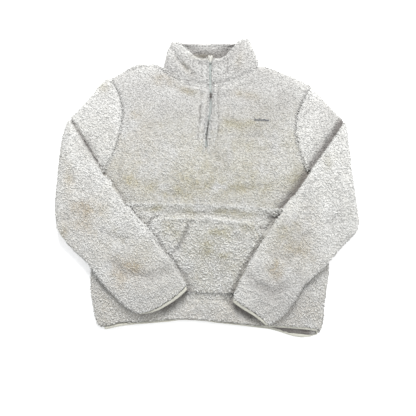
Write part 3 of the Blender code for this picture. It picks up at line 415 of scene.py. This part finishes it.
# How far the binding hangs below the panels, then how much further its back half does at the side where
# it gapes: x, then how far; and the height that parts the two halves
HEM_HANG = (
    (-250, 3), (-209, 5), (-185, 7), (-90, 8), (-60, 4.5), (0, 4), (20, 6), (60, 6.5), (100, 5), (150, 0),
    (266, -1),
)
HEM_GAPE = (
    (110, 0), (140, 0.8), (165, 2.8), (185, 6), (205, 9.3), (225, 10.8), (245, 10), (262, 6.5),
)
HEM_MIDDLE = 7.0

# A bar of satin stitches on the chest: its ends, height, droop, pitch and slant, then each thread, how
# high it lies, and how far round the bar there are no curls
MARK_ENDS, MARK_Y, MARK_DROOP, MARK_PITCH, MARK_SLANT = (113.4, 148.6), 158.4, -1.6, 2, 0.2
MARK_THREAD, MARK_LIFT, MARK_CLEAR = (1.25, 5.6, 1.1), 0.55, (1, 3.6)

# The zip's middle line: y, then x
ZIP_LEAN = ((-48, -5), (20, -4), (91, -2), (110, -2), (144, 2), (182, 8), (216, 9), (239, 8), (320, 8))

# node: the cloth's levels, the curls' spacing in mm, size, whiteness and beige share, then the cut:
# width, length and area in m, how it is held, what it lies on
PANELS = {
    "back_panel": (2, 4.4, 1, 0.5, 0.2, 0.58, 0.65, 0.31, "laid", []),
    "front_upper": (2, 3.2, 0.72, 0.44, 0.34, 0.58, 0.36, 0.155, "laid", ["back_panel"]),
    "front_lower": (2, 3.5, 0.88, 0.78, 0.26, 0.58, 0.30, 0.155, "laid", ["back_panel"]),
    "kangaroo_pocket": (2, 3.3, 1, 0.78, 0.34, 0.345, 0.19, 0.056, "laid", ["front_lower"]),
    "sleeve_right": (2, 3.1, 0.82, 0.82, 0.16, 0.42, 0.72, 0.19, "folded", ["front_upper", "front_lower"]),
    "sleeve_left": (2, 3.1, 0.82, 0.84, 0.1, 0.42, 0.72, 0.18, "folded", ["front_upper", "front_lower"]),
    "collar": (1, 3, 0.78, 0.56, 0.1, 0.46, 0.08, 0.03, "folded", ["back_panel"]),
}

# How far each panel's walls stand out under the curls: to the sides, toward the collar, toward the hem
FULL_SIDES = {
    "sleeve_right": (-1.8, -1.8, -1.8), "sleeve_left": (-1.6, -1.6, -1.6), "collar": (2.6, 6.2, 1),
    "front_upper": (0.8, 5, 1.5), "front_lower": (3.4, 1.2, 5), "kangaroo_pocket": (0.8, 0.8, 0.8),
    "back_panel": (3.4, 4, 5.5),
}

# Panels whose edge toward the collar stands out unevenly: x, then how far
SHOULDERS = {
    "front_upper": ((-240, 4), (-209, 2), (-180, 8), (-150, 8.5), (-110, 5), (110, 5), (128, -1),
                    (165, 0.5), (205, 3.5), (232, 1.5), (250, 2)),
    "sleeve_right": ((-345, 2), (-325, 0.5), (-302, -3.6), (-280, -2.4), (-264, 0.5), (-245, 4.5)),
    "sleeve_left": ((240, 2.5), (250, 2), (275, -1.8)),
}

# The furrows in each panel
FURROWS_ON = {
    "front_upper": ("over_sleeves", "placket"), "front_lower": ("over_sleeves", "pocket_edge", "under_yoke"),
    "kangaroo_pocket": ("over_sleeves", "pocket_fold"), "back_panel": ("collar_rim", "hem_opening"),
    "collar": ("collar_rim", "collar_fold", "collar_stitching"), "sleeve_right": ("over_sleeves",),
    "sleeve_left": ("over_sleeves",),
}
# Of these, the ones that are in a lower ply alone, and that ply's lowest and highest place
LOWER_PLY_FURROWS = ("collar_rim", "over_sleeves")
LOWER_PLY = {"collar": (0, 9), "sleeve_right": (5, 19), "sleeve_left": (5, 19)}
# How deep the pile with the most painted shade lies, and how deep any may
PRESSED_DEPTH, MOST_SUNK = -2.0, 5.2


# -------- numbers over many points

def read(items, key, width=1, kind=np.float32):
    found = np.empty(len(items) * width, kind)
    items.foreach_get(key, found)
    return found.reshape(-1, width) if width > 1 else found


def corners_of(mesh):
    """Where the corners of a mesh are, and which way each faces."""
    return read(mesh.vertices, "co", 3), read(mesh.vertices, "normal", 3)


def triangles_of(mesh):
    mesh.calc_loop_triangles()
    return read(mesh.loop_triangles, "vertices", 3, np.int32)


def write(mesh, name, values):
    mesh.attributes.new(name, "FLOAT", "POINT").data.foreach_set("value", values.astype(np.float32))


def hashed(cells, salt):
    """A random number from 0 to 1 for each whole-numbered cell."""
    mixed = (cells * np.array((73856093, 19349663, 83492791))).sum(-1) + salt * 2654435761
    mixed = (mixed ^ (mixed >> 13)) * 1274126177
    return ((mixed ^ (mixed >> 16)) & 0xFFFFFF) / 0xFFFFFF


def clouds(points, size, salt=0):
    """Smooth noise from 0 to 1, of about this size in mm."""
    spots = points / (size * MM)
    cell = np.floor(spots).astype(np.int64)
    part = spots - cell
    part = part * part * (3 - 2 * part)
    total = np.zeros(len(points))
    for corner in np.ndindex(2, 2, 2):
        share = np.prod(np.where(corner, part, 1 - part), axis=1)
        total += share * hashed(cell + corner, salt)
    return total


def tufts(points, size):
    """The height of rounded clumps of this size in mm, from 0 between them to 1 on top."""
    spots = points / (size * MM)
    cell = np.floor(spots).astype(np.int64)
    nearest = np.full(len(points), 9.0)
    for step in np.ndindex(3, 3, 3):
        other = cell + np.array(step) - 1
        jitter = np.stack([hashed(other, salt) for salt in (1, 2, 3)], axis=1)
        nearest = np.minimum(nearest, ((other + jitter - spots) ** 2).sum(1))
    return 1 - nearest.clip(0, 1)


def measured(line):
    """The corners of a line, and how far along it each lies."""
    corners = np.array(line, float)
    return corners, np.concatenate([[0], np.cumsum(np.linalg.norm(np.diff(corners, axis=0), axis=1))])


def from_line(xy, line):
    """Each point's distance to a line of corners, and its share of the line's length there."""
    corners, marks = measured(line)
    best, share = np.full(len(xy), 1e9), np.zeros(len(xy))
    for k, (start, end) in enumerate(zip(corners, corners[1:])):
        run = end - start
        t = (((xy - start) @ run) / (run @ run)).clip(0, 1)
        away = np.linalg.norm(xy - start - t[:, None] * run, axis=1)
        nearer = away < best
        best = np.where(nearer, away, best)
        share = np.where(nearer, (marks[k] + t * (marks[k + 1] - marks[k])) / marks[-1], share)
    return best, share


def table_xy(points):
    """Points in m as places in the tables."""
    return points[:, :2] / MM - CENTRED


def placed_at(x, y):
    """A place in the tables, in m."""
    return (x + CENTRED[0]) * MM, (y + CENTRED[1]) * MM


def read_off(table, at):
    """The second column of a table, read between its rows at these places in the first."""
    return np.interp(at, *zip(*table))


def bell(away, width):
    """1 on a line, falling off softly to both sides of it."""
    return np.exp(-((away / width) ** 2))


def creased(points, lines):
    """How far the creases lift each point, in mm: fully at the middle of each, less at its ends."""
    xy, height = table_xy(points), np.zeros(len(points))
    for width, rise, *line in lines:
        away, share = from_line(xy, line)
        height += rise * bell(away, width) * (CREASE_END + CREASE_REST * np.sin(np.pi * share) ** 0.7)
    return height


def furrowed(points, node):
    """How far furrows sink each point, in mm, and how flat its pile is and how much painted shade it has, up
    to 1.
    """
    xy, sunk, painted_shade = table_xy(points), np.zeros(len(points)), np.zeros(len(points))
    for title in FURROWS_ON.get(node, ()):
        touched = np.ones(len(points), bool)
        if node in LOWER_PLY and title in LOWER_PLY_FURROWS:
            low, high = LOWER_PLY[node]
            touched = (points[:, 2] > low * MM) & (points[:, 2] < high * MM)
        for width, depth, flat, dark, *line in FURROWS[title]:
            away, _ = from_line(xy, line)
            flattened = dark * bell(away, flat)
            sunk += (depth * bell(away, width) + PRESSED_DEPTH * flattened) * touched
            painted_shade = np.maximum(painted_shade, flattened * touched)
    return sunk, painted_shade


def shaded(points, node):
    """The painted shade of the pile at each point: in furrows, troughs, along seams, in the slit over the
    coil and in patches of painted shade or painted light, with uneven tone on top.
    """
    _, dark = furrowed(points, node)
    xy = table_xy(points)
    if node in CREASES and node != "back_panel":
        dark = np.maximum(dark, (-creased(points, CREASES[node]) * CREASE_SHADE).clip(0, MOST_CREASE_SHADE))
    if node in ("front_upper", "seams", "lips"):
        for _, _, _, shade, *line in SEAMS:
            away, _ = from_line(xy, line)
            dark = np.maximum(dark, shade * bell(away, SEAM_WIDTH))
    if node in ("front_upper", "collar", "seams", "lips"):
        shade = np.interp(xy[:, 1], SLIT_Y, SLIT_SHADE, left=0)
        width = np.interp(xy[:, 1], SLIT_Y, SLIT_SHADE_WIDTH)
        dark = np.maximum(dark, shade * bell(xy[:, 0] - zip_middle(xy[:, 1]), width))
    uneven = sum(clouds(points, size, 8) - 0.5 for size in UNEVEN_SIZES)
    return (dark + patches(xy, PAINTED_SHADE_AND_LIGHT) + UNEVEN * uneven).clip(0, 1)


def zip_middle(y):
    return read_off(ZIP_LEAN, y)


def patches(xy, rows):
    """The sum of soft oval patches at each place."""
    total = np.zeros(len(xy))
    for x, y, long, wide, strength, *turn in rows:
        angle = math.radians(sum(turn))
        c, s = math.cos(angle), math.sin(angle)
        dx, dy = xy[:, 0] - x, xy[:, 1] - y
        total += strength * np.exp(-((dx * c + dy * s) / long) ** 2 - ((dy * c - dx * s) / wide) ** 2)
    return total


def nap_at(points, share):
    """From 0 for clean pile to 1 where it is beige and worn; share is how beige it is in general."""
    xy = table_xy(points)
    patchy = sum(clouds(points, size, salt) * part for size, salt, part in NAP_CLOUDS)
    share = share * read_off(NAP_FADE, xy[:, 1])
    return ((patches(xy, NAP) * NAP_STRENGTH + share) * (patchy * NAP_CONTRAST - NAP_FLOOR)).clip(0, 1)


def fair_at(points, white):
    """How light the cloth is between the curls: lighter toward the collar."""
    return (white ** 2 + FAIR_RISE * table_xy(points)[:, 1]).clip(0, 1)


def fleece_numbers(points, node, white, beige):
    """The numbers that the finishes of the fleece read at each point."""
    return {"fair": fair_at(points, white), "nap": nap_at(points, beige),
            "rosy": patches(table_xy(points), ROSY).clip(0, 1), "painted_shade": shaded(points, node)}


# -------- cloth

def solids():
    """One tree over all the solids, to see which faces are in the open."""
    verts, faces = [], []
    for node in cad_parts.values():
        start = len(verts)
        verts += [v.co.copy() for v in node.data.vertices]
        faces += [tuple(start + i for i in p.vertices) for p in node.data.polygons]
    return BVHTree.FromPolygons(verts, faces)


SOLIDS = solids()
# How much clear air the open side has over it, from how far off, and which faces are the underside
CLEAR_AIR, LIFT_OFF, UNDERSIDE, UP = 30 * MM, 1.2 * MM, -0.5, Vector((0, 0, 1))
# A panel's wall faces the sides under this, and curls grow over this share of open faces, fewer in shade
FACES_ASIDE, OPEN_ENOUGH, SHADED_RARER = 0.6, 0.4, 0.15


def in_the_open(spot, normal):
    """True if the spot doesn't face the surface below, and the air over it is clear one way."""
    ways = normal, (normal + UP).normalized(), UP
    hits = (SOLIDS.ray_cast(spot + way * LIFT_OFF, way, CLEAR_AIR)[0] for way in ways)
    return normal.z >= UNDERSIDE and None in hits


def applied(piece):
    """Applies every modifier of the piece."""
    bpy.ops.object.select_all(action="DESELECT")
    piece.select_set(True)
    bpy.context.view_layer.objects.active = piece
    for modifier in list(piece.modifiers):
        bpy.ops.object.modifier_apply(modifier=modifier.name)


SAME_CORNER, MOST_BENT, MOST_SKEWED = 0.02 * MM, math.radians(40), math.radians(60)


def smooth_copy(node, name, levels, material):
    """A copy of a solid with its corners rounded off."""
    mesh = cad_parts[node].data.copy()
    piece = bpy.data.objects.new(name, mesh)
    bpy.context.scene.collection.objects.link(piece)
    bm = bmesh.new()
    bm.from_mesh(mesh)
    bmesh.ops.remove_doubles(bm, verts=bm.verts, dist=SAME_CORNER)
    bmesh.ops.join_triangles(bm, faces=bm.faces, angle_face_threshold=MOST_BENT,
                             angle_shape_threshold=MOST_SKEWED)
    bm.to_mesh(mesh)
    bm.free()
    mesh.materials.clear()
    mesh.materials.append(material)
    rounding = piece.modifiers.new("Round", "SUBSURF")
    rounding.levels = rounding.render_levels = levels
    applied(piece)
    piece.data.shade_smooth()
    return piece


# Faces over this area are divided. The cloth then sinks under its curls, with clumps and waves on it
FINE_FACE = 34 * MM * MM
SINK, CLUMP, CLUMP_SIZE, WAVER, WAVER_SIZE = 1.7, 1.3, 6.0, 1.6, 34


def divided(mesh):
    """Divides the faces in the open, and notes at each corner how much of what is round it they are."""
    bm = bmesh.new()
    bm.from_mesh(mesh)
    opened = bm.faces.layers.int.new("open")
    for face in bm.faces:
        spots = (face.calc_center_median(), *(v.co for v in face.verts))
        face[opened] = any(in_the_open(spot, face.normal) for spot in spots)
    edges = {e for f in bm.faces if f[opened] and f.calc_area() > FINE_FACE for e in f.edges}
    bmesh.ops.subdivide_edges(bm, edges=list(edges), cuts=1, use_grid_fill=True)
    shown = bm.verts.layers.float.new("open_share")
    for vertex in bm.verts:
        vertex[shown] = sum(f[opened] for f in vertex.link_faces) / len(vertex.link_faces)
    bm.to_mesh(mesh)
    bm.free()


def fullness(node, x, y, toward_collar):
    """How far a panel's walls stand out, in mm, by how far each faces the collar."""
    aside, collarward, hemward = FULL_SIDES[node]
    if node in ("front_lower", "back_panel"):
        aside = aside + np.interp(y, HEM_FLARE_FROM, (1, 0)) * np.where(x < 0, *HEM_FLARE)
    if node in SHOULDERS:
        collarward = read_off(SHOULDERS[node], x)
    if node == "front_lower":
        hemward = np.interp(x, HEM_COVER, (BARE_HEM, hemward, hemward, BARE_HEM))
    along = np.where(toward_collar > 0, collarward, hemward)
    return np.where(np.abs(toward_collar) < FACES_ASIDE, aside, along)


def cloth_of(node, levels, white, beige):
    """The cloth of a panel: dense, creased and clumped where it is in the open."""
    piece = smooth_copy(node, node + "_cloth", levels, BACKING)
    mesh = piece.data
    divided(mesh)
    points, normals = corners_of(mesh)
    share = read(mesh.attributes["open_share"].data, "value")
    level, (x, y) = np.abs(normals[:, 2]), table_xy(points).T
    creases, (sunk, _) = creased(points, CREASES[node]), furrowed(points, node)
    height = creases * (node != "back_panel") - SINK * level
    height += fullness(node, x, y, normals[:, 1]) * (1 - level)
    height += CLUMP * (tufts(points, CLUMP_SIZE) - 0.5 * (1 - level))
    height += WAVER * (clouds(points, WAVER_SIZE, 9) - 0.5)
    height = (height + sunk).clip(-MOST_SUNK, None)
    if node == "back_panel":
        under = normals[:, 2] < UNDERSIDE
        height, share = np.where(under, creases, height), np.where(under, 1.0, share)
    points = points + normals * (height * share * MM)[:, None]
    points[:, 2] = points[:, 2].clip(0, None)
    if node == "back_panel":
        points[:, 1] -= read_off(HEM_GAPE, x) * np.interp(y, BACK_HEM, (1, 0)) * MM
    mesh.vertices.foreach_set("co", points.astype(np.float32).ravel())
    mesh.update()
    mesh.shade_smooth()
    for title, values in fleece_numbers(points, node, white, beige).items():
        write(mesh, title, values)
    return piece


# -------- curls of the pile

# Three curls: turn in degrees, length and thickness at the root in mm; then the rings that make one
# fuller than a cone, at which share of its length and by how much
CURL_KINDS = ((150, 8.0, 1.25), (210, 9.0, 1.2), (270, 10.0, 1.1))
CURL_RINGS = ((0.38, 1.5), (0.76, 2.7))


def curl_shapes():
    """Each kind of curl, modelled once: a tapered tube, bent over."""
    made = []
    for turn, length, thick in CURL_KINDS:
        bpy.ops.object.select_all(action="DESELECT")
        bpy.ops.mesh.primitive_cone_add(vertices=3, radius1=thick * MM, radius2=0, depth=length * MM,
                                        end_fill_type="NOTHING")
        curl = bpy.context.object
        bm = bmesh.new()
        bm.from_mesh(curl.data)
        for share, _ in CURL_RINGS:
            bmesh.ops.bisect_plane(bm, geom=[*bm.verts, *bm.edges, *bm.faces],
                                   plane_co=(0, 0, (share - 0.5) * length * MM), plane_no=(0, 0, 1))
        tip = bm.verts.layers.float.new("tip")
        for vertex in bm.verts:
            vertex[tip] = vertex.co.z / (length * MM) + 0.5
            for share, fuller in CURL_RINGS:
                if abs(vertex[tip] - share) < 0.02:
                    vertex.co.x, vertex.co.y = vertex.co.x * fuller, vertex.co.y * fuller
            vertex.co.z += length / 2 * MM
        bm.to_mesh(curl.data)
        bm.free()
        bend = curl.modifiers.new("Bend", "SIMPLE_DEFORM")
        bend.deform_method, bend.deform_axis, bend.angle = "BEND", "X", math.radians(turn)
        applied(curl)
        made.append((read(curl.data.vertices, "co", 3), read(curl.data.attributes["tip"].data, "value"),
                     triangles_of(curl.data)))
        bpy.data.objects.remove(curl)
    return made


SHAPES = curl_shapes()
MOST_CURLS = 190000 / max(len(shape[2]) for shape in SHAPES)
ROOTED, LEAST_HEIGHT = 0.6 * MM, 0.1 * MM


def unit(rows):
    return rows / np.linalg.norm(rows, axis=1)[:, None]


def parted(points, roots):
    """Points pushed back to their own side of the slit, where they lie over its open part."""
    xy, root_xy = table_xy(points), table_xy(roots)
    middle = zip_middle(xy[:, 1])
    half = np.interp(xy[:, 1], SLIT_Y, SLIT_HALF, left=SLIT_BELOW)
    away = xy[:, 0] - middle
    side = np.where(root_xy[:, 0] < zip_middle(root_xy[:, 1]), -1, 1)
    over = (away * side < half) & (np.abs(away) < PART_WITHIN) & (half > PART_OPEN)
    over &= points[:, 2] > PART_ABOVE * MM
    points[over, 0] = (((middle + side * half) + CENTRED[0]) * MM)[over]
    return points


def on_mark(points):
    """True for points over the stitched bar."""
    (x, y), (past_end, beside) = table_xy(points).T, MARK_CLEAR
    in_bar = np.abs(y - MARK_Y - MARK_DROOP / 2) < beside
    return (x > MARK_ENDS[0] - past_end) & (x < MARK_ENDS[1] + past_end) & in_bar


def roots_on(piece, node, spacing):
    """Roots spread evenly over the open side of a panel, and the way up from each."""
    mesh = piece.data
    tris, (points, normals) = triangles_of(mesh), corners_of(mesh)
    first, second, third = points[tris].transpose(1, 0, 2)
    area = np.linalg.norm(np.cross(second - first, third - first), axis=1) / 2
    weight = area * (read(mesh.attributes["open_share"].data, "value")[tris].mean(1) > OPEN_ENOUGH)
    count = int(min(weight.sum() / (spacing * MM) ** 2, MOST_CURLS))
    # One root in each equal share of the summed area
    marks = (np.arange(count) + DRAW.random(count)) / count * weight.sum()
    pick = np.searchsorted(np.cumsum(weight), marks).clip(0, len(tris) - 1)
    u, v = DRAW.random((2, count, 1))
    u, v = np.where(u + v > 1, 1 - u, u), np.where(u + v > 1, 1 - v, v)
    root = first[pick] + u * (second[pick] - first[pick]) + v * (third[pick] - first[pick])
    normal = unit(normals[tris[pick]].mean(1))
    painted_shade = shaded(root, node)
    kept = (DRAW.random(count) > painted_shade * SHADED_RARER) & ~on_mark(root)
    if node == "back_panel":
        x, y = table_xy(root).T
        kept &= (y > INSIDE_HEM) | ((x < HEM_ENDS[0]) | (x > HEM_ENDS[1])) & (y > LOWEST_ROOT)
    raised = root + normal * MOST_SUNK * MM
    kept &= [in_the_open(Vector(spot), Vector(way)) for spot, way in zip(raised, normal)]
    return root[kept], normal[kept], painted_shade[kept]


def top_at(x, y):
    """The height in m of the topmost solid at a place in the tables."""
    hit = SOLIDS.ray_cast(Vector((*placed_at(x, y), 0.1)), -UP)[0]
    return hit.z if hit else 0.0


def rooted(xy, heights, normal):
    """Roots at these places in the tables, out of any shade."""
    root = np.zeros((len(xy), 3))
    root[:, :2], root[:, 2] = (xy + CENTRED) * MM, heights
    return root, normal, np.zeros(len(xy))


def roots_along(depth, spacing, spread, reach, *line):
    """Roots along a seam, this deep in mm under the lower of its sides, but none on the top ply."""
    corners, marks = measured(line)
    count = int(marks[-1] / spacing)
    at = (np.arange(count) + DRAW.random(count)) / count * marks[-1]
    xy, after, before = (np.stack([np.interp(spot, marks, part) for part in corners.T], axis=1)
                         for spot in (at, at + 1, at - 1))
    aside = unit(after - before)[:, ::-1] * (-1, 1)
    xy += aside * DRAW.uniform(-spread, spread, (count, 1))
    heights = np.array([min(top_at(*(spot + way * side)) for side in (-reach, reach)) - depth * MM
                        for spot, way in zip(xy, aside)])
    below = heights < TOP_PLY * MM
    return rooted(xy[below], heights[below], np.tile((0.0, 0.0, 1.0), (below.sum(), 1)))


def fringe_roots():
    """Roots over the hem's binding, hanging toward it."""
    x = np.arange(HEM_FRINGE[0][0], HEM_FRINGE[-1][0], FRINGE_SPACING)
    y = read_off(HEM_FRINGE, x) + DRAW.uniform(*FRINGE_SPREAD, len(x))
    heights = DRAW.uniform(*FRINGE_HEIGHTS, len(x)) * MM
    swing = DRAW.uniform(*SWING, len(x))
    hang = np.stack([swing, np.full(len(x), -1.0), 0.2 + heights / (15 * MM)], axis=1)
    return rooted(np.stack([x, y], axis=1), heights, unit(hang))


def lip_roots(edge):
    """Roots along one edge of the slit over the coil, leaning in over it."""
    y = np.arange(SLIT[0][0], SLIT[-1][0], LIP_SPACING)
    x = zip_middle(y) + edge * (LIP_FOOT + DRAW.uniform(*LIP_SPREAD, len(y)))
    heights = [top_at(spot + edge * LIP_REACH, row) - LIP_DEPTH * MM for spot, row in zip(x, y)]
    swing = DRAW.uniform(*SWING, len(y))
    lean = np.stack([np.full(len(y), -edge * LIP_LEAN), swing, np.ones(len(y))], axis=1)
    return rooted(np.stack([x, y], axis=1), heights, unit(lean))


def together(parts):
    """Several lots of roots as one."""
    return [np.concatenate(column) for column in zip(*parts)]


# How far the curls lean over, how their sizes vary, how much smaller the most shaded ones are, how
# light the white ones are, and how much lighter any may be
LEAN, SIZES, SHADED_SMALLER, WHITES, LIGHTER = (-0.1, 1.0), (0.7, 1.28), 0.35, (0.5, 1.0), (0, 0.25)


def pile(name, node, root, normal, painted_shade, size, white, beige):
    """Curls on these roots, joined as one mesh."""
    count, y = len(root), table_xy(root)[:, 1]
    side = unit(np.cross(normal, DRAW.normal(size=(count, 3))))
    up = unit(normal + side * DRAW.uniform(*LEAN, (count, 1)))
    along = unit(np.cross(side, normal))
    side = unit(np.cross(along, up))
    scale = DRAW.uniform(*SIZES, count) * size * (1 - SHADED_SMALLER * painted_shade) * read_off(CURLS_SHORTER, y)
    light = (DRAW.random(count) < white - CURL_RISE * y) * DRAW.uniform(*WHITES, count)
    light = light + DRAW.uniform(*LIGHTER, count)
    kind = DRAW.integers(0, len(SHAPES), count)
    verts, faces, tips, curls, start = [], [], [], [], 0
    for k, (shape, tip, shape_faces) in enumerate(SHAPES):
        at = np.flatnonzero(kind == k)
        axes = np.stack([side[at], along[at], up[at]], axis=1)
        placed = np.einsum("pk,nkx->npx", shape, axes) * scale[at, None, None] + root[at, None]
        placed -= normal[at, None] * ROOTED
        verts.append(parted(placed.reshape(-1, 3), np.repeat(root[at], len(shape), axis=0)))
        tips.append(np.tile(tip, len(at)))
        curls.append(np.repeat(light[at], len(shape)))
        ids = start + np.arange(len(at))[:, None, None] * len(shape) + shape_faces
        faces.append(ids.reshape(-1, 3))
        start += len(at) * len(shape)
    verts = np.concatenate(verts)
    verts[:, 2] = verts[:, 2].clip(LEAST_HEIGHT, None)
    numbers = {"tip": np.concatenate(tips), "curl": np.concatenate(curls).clip(0, 1),
               **fleece_numbers(verts, node, white, beige)}
    return mesh_piece(name, verts, np.concatenate(faces), CURLS, numbers)


def mesh_piece(name, verts, faces, material, numbers):
    """A piece made from corners and triangles, with these numbers on its corners."""
    mesh = bpy.data.meshes.new(name)
    mesh.from_pydata(verts, [], faces)
    for title, values in numbers.items():
        write(mesh, title, values)
    mesh.materials.append(material)
    mesh.shade_smooth()
    made = bpy.data.objects.new(name, mesh)
    bpy.context.scene.collection.objects.link(made)
    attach(made, "root")
    return made


for node, (levels, spacing, size, white, beige, width, length, area, held, rests_on) in PANELS.items():
    panel = cloth_of(node, levels, white, beige)
    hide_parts(node)
    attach(panel, "root")
    curls = pile(node + "_pile", node, *roots_on(panel, node, spacing), size, white, beige)
seam_roots = (roots_along(depth, spacing, spread, SEAM_REACH, *line)
              for depth, spacing, spread, _, *line in SEAMS)
pile("seam_pile", "seams", *together(seam_roots), 0.9, 0.5, 0.2)
pile("rim_pile", "seams", *together(roots_along(*row) for row in RIMS), 0.8, 0.9, 0.1)
pile("hem_pile", "front_lower", *fringe_roots(), 0.75, 0.5, 0.3)
pile("slit_pile", "lips", *together(lip_roots(edge) for edge in (-1, 1)), 0.8, 0.6, 0.15)


# -------- zip, bindings and stitches

def plain(name, colour, roughness):
    """A finish of one colour."""
    sockets = {"Base Color": colour, "Roughness": roughness, "Specular IOR Level": 0.3}
    return Finish(name, sockets).material


def dressed(node, levels, material):
    """A smooth copy that takes the place of one of the small solids."""
    piece = smooth_copy(node, node + "_finish", levels, material)
    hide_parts(node)
    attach(piece, "root")
    return piece


def bead(wide, long, high):
    """A rounded bead, modelled once: its corners and triangles."""
    bpy.ops.object.select_all(action="DESELECT")
    bpy.ops.mesh.primitive_uv_sphere_add(segments=8, ring_count=5, radius=0.5 * MM, scale=(wide, long, high))
    bpy.ops.object.transform_apply(scale=True)
    shape = bpy.context.object
    made = read(shape.data.vertices, "co", 3), triangles_of(shape.data)
    bpy.data.objects.remove(shape)
    return made


def beads(name, shape, places, turn, material):
    """Copies of one bead, turned about the upright, at these places in the tables and heights in m."""
    corners, faces = shape
    c, s = math.cos(turn), math.sin(turn)
    turned = corners @ np.array(((c, s, 0), (-s, c, 0), (0, 0, 1)))
    spots = np.array([(*placed_at(x, y), z) for x, y, z in places])
    ids = np.arange(len(spots))[:, None, None] * len(corners) + faces
    return mesh_piece(name, (spots[:, None] + turned).reshape(-1, 3), ids.reshape(-1, 3), material, {})


def ribbed(name, colour, pitch, depth):
    """Ribs across the run of a binding or a tape."""
    finish = Finish(name, {"Roughness": 0.8, "Specular IOR Level": 0.25})
    ribs = finish.ribs(pitch, finish.node("CombineXYZ", {"X": finish.attribute("run")}))
    # The grooves between the ribs are darker: painted shade
    finish.set({"Base Color": finish.mix(ribs * 0.5, colour, tuple(0.72 * part for part in colour)),
                "Normal": finish.bump(finish.noise(0.7), 0.12, under=finish.bump(1 - ribs, depth))})
    return finish.material


def coil():
    """Mint nylon, with painted shade where the lips of the slit close over it."""
    finish = Finish("coil_nylon", {"Roughness": 0.5, "Specular IOR Level": 0.3})
    finish.set({"Base Color": finish.mix(finish.attribute("painted_shade"), COIL_MINT, WOOL_SHADED)})
    return finish.material


def with_run(piece, way):
    """Notes how far along this way each corner of the piece lies, in m."""
    points = read(piece.data.vertices, "co", 3)
    write(piece.data, "run", points[:, :2] @ np.array(way) / np.linalg.norm(way))


def shade_coil(piece):
    """Notes how much painted shade the coil has under the lips of the slit."""
    dark = shaded(read(piece.data.vertices, "co", 3), "lips")
    write(piece.data, "painted_shade", (dark * COIL_SHADE).clip(0, 1))


CUFF_RUNS = {"cuff_binding_right": (-69.6, -48.0), "cuff_binding_left": (81.6, -57.6)}
RIB, WEAVE = ribbed("elastic_rib", RIB_CREAM, 1.7, 0.4), ribbed("tape_weave", TAPE_CREAM, 0.9, 0.15)
for node, way in CUFF_RUNS.items():
    with_run(dressed(node, 2, RIB), way)
binding = dressed("hem_binding", 2, RIB)
points = read(binding.data.vertices, "co", 3)
x, back_half = table_xy(points)[:, 0], points[:, 2] < HEM_MIDDLE * MM
points[:, 1] -= (read_off(HEM_HANG, x) + read_off(HEM_GAPE, x) * back_half) * MM
binding.data.vertices.foreach_set("co", points.ravel())
with_run(binding, (1, 0))
for node in ("zip_tape_right", "zip_tape_left"):
    with_run(dressed(node, 1, WEAVE), (0, 1))
COIL, COIL_SHADE = coil(), 1.3
shade_coil(dressed("zip_chain", 1, COIL))
dressed("zip_slider", 1, plain("cream_enamel", ENAMEL_CREAM, 0.35))

TOOTH, TOOTH_PITCH, TEETH_APART, TOOTH_LIFT, CHAIN_ENDS = (3.3, 1.3, 1.2), 1.5, 1.4, 0.1 * MM, (94, 296)
rows = np.arange(*CHAIN_ENDS, TOOTH_PITCH)
teeth = [(float(zip_middle(y)) + side * TEETH_APART, y, top_at(float(zip_middle(y)), y) + TOOTH_LIFT)
         for side, shift in ((-1, 0), (1, TOOTH_PITCH / 2)) for y in rows + shift]
shade_coil(beads("zip_teeth", bead(*TOOTH), teeth, 0, COIL))

stitches = np.arange(*MARK_ENDS, MARK_PITCH)
threads = [(x, MARK_Y + MARK_DROOP * k / len(stitches), top_at(x, MARK_Y) + MARK_LIFT * MM)
           for k, x in enumerate(stitches)]
beads("chest_stitches", bead(*MARK_THREAD), threads, -MARK_SLANT, plain("navy_thread", NAVY, 0.6))


# -------- studio

bpy.ops.object.select_all(action="DESELECT")
bpy.ops.mesh.primitive_plane_add(size=40, location=(0, 0, -0.5 * MM))
floor = bpy.context.object
floor.name = "studio_floor"
paper = Finish("paper", {"Base Color": (0.96, 0.96, 0.96), "Roughness": 0.9, "Emission Strength": 0.3,
                         "Emission Color": (1.0, 1.0, 1.0)})
floor.data.materials.append(paper.material)

# Where the camera is in the tables, the width of its picture in m at this height, and its sensor
CAMERA_AT, FRAME_WIDTH, FRAME_HEIGHT, SENSOR = (2.4, -52.8, 2000.0), 0.9984, 0.008, 36
lens = bpy.data.cameras.new("camera")
lens.sensor_width = SENSOR
lens.lens = SENSOR * (CAMERA_AT[2] * MM - FRAME_HEIGHT) / FRAME_WIDTH
camera = bpy.data.objects.new("camera", lens)
camera.location = (*placed_at(*CAMERA_AT[:2]), CAMERA_AT[2] * MM)
bpy.context.scene.collection.objects.link(camera)
bpy.context.scene.camera = camera


def area_light(name, place, size, power, colour):
    lamp = bpy.data.lights.new(name, "AREA")
    lamp.shape, lamp.size, lamp.energy, lamp.color = "DISK", size, power, colour
    rig = bpy.data.objects.new(name, lamp)
    rig.location = place
    rig.rotation_euler = (-Vector(place)).to_track_quat("-Z", "Y").to_euler()
    bpy.context.scene.collection.objects.link(rig)


area_light("key_from_the_collar", (0.08, 2.5, 2.0), 1.3, 106, (1.0, 0.996, 0.99))
area_light("side_light", (1.9, 0.0, 1.6), 1.0, 14, (1.0, 0.995, 0.985))
world = bpy.data.worlds.new("studio")
bpy.context.scene.world = world
world.use_nodes = True
sky = world.node_tree.nodes["Background"].inputs
sky["Color"].default_value, sky["Strength"].default_value = (0.97, 0.985, 1.0, 1), 0.70
bpy.context.scene.view_settings.view_transform = "Standard"
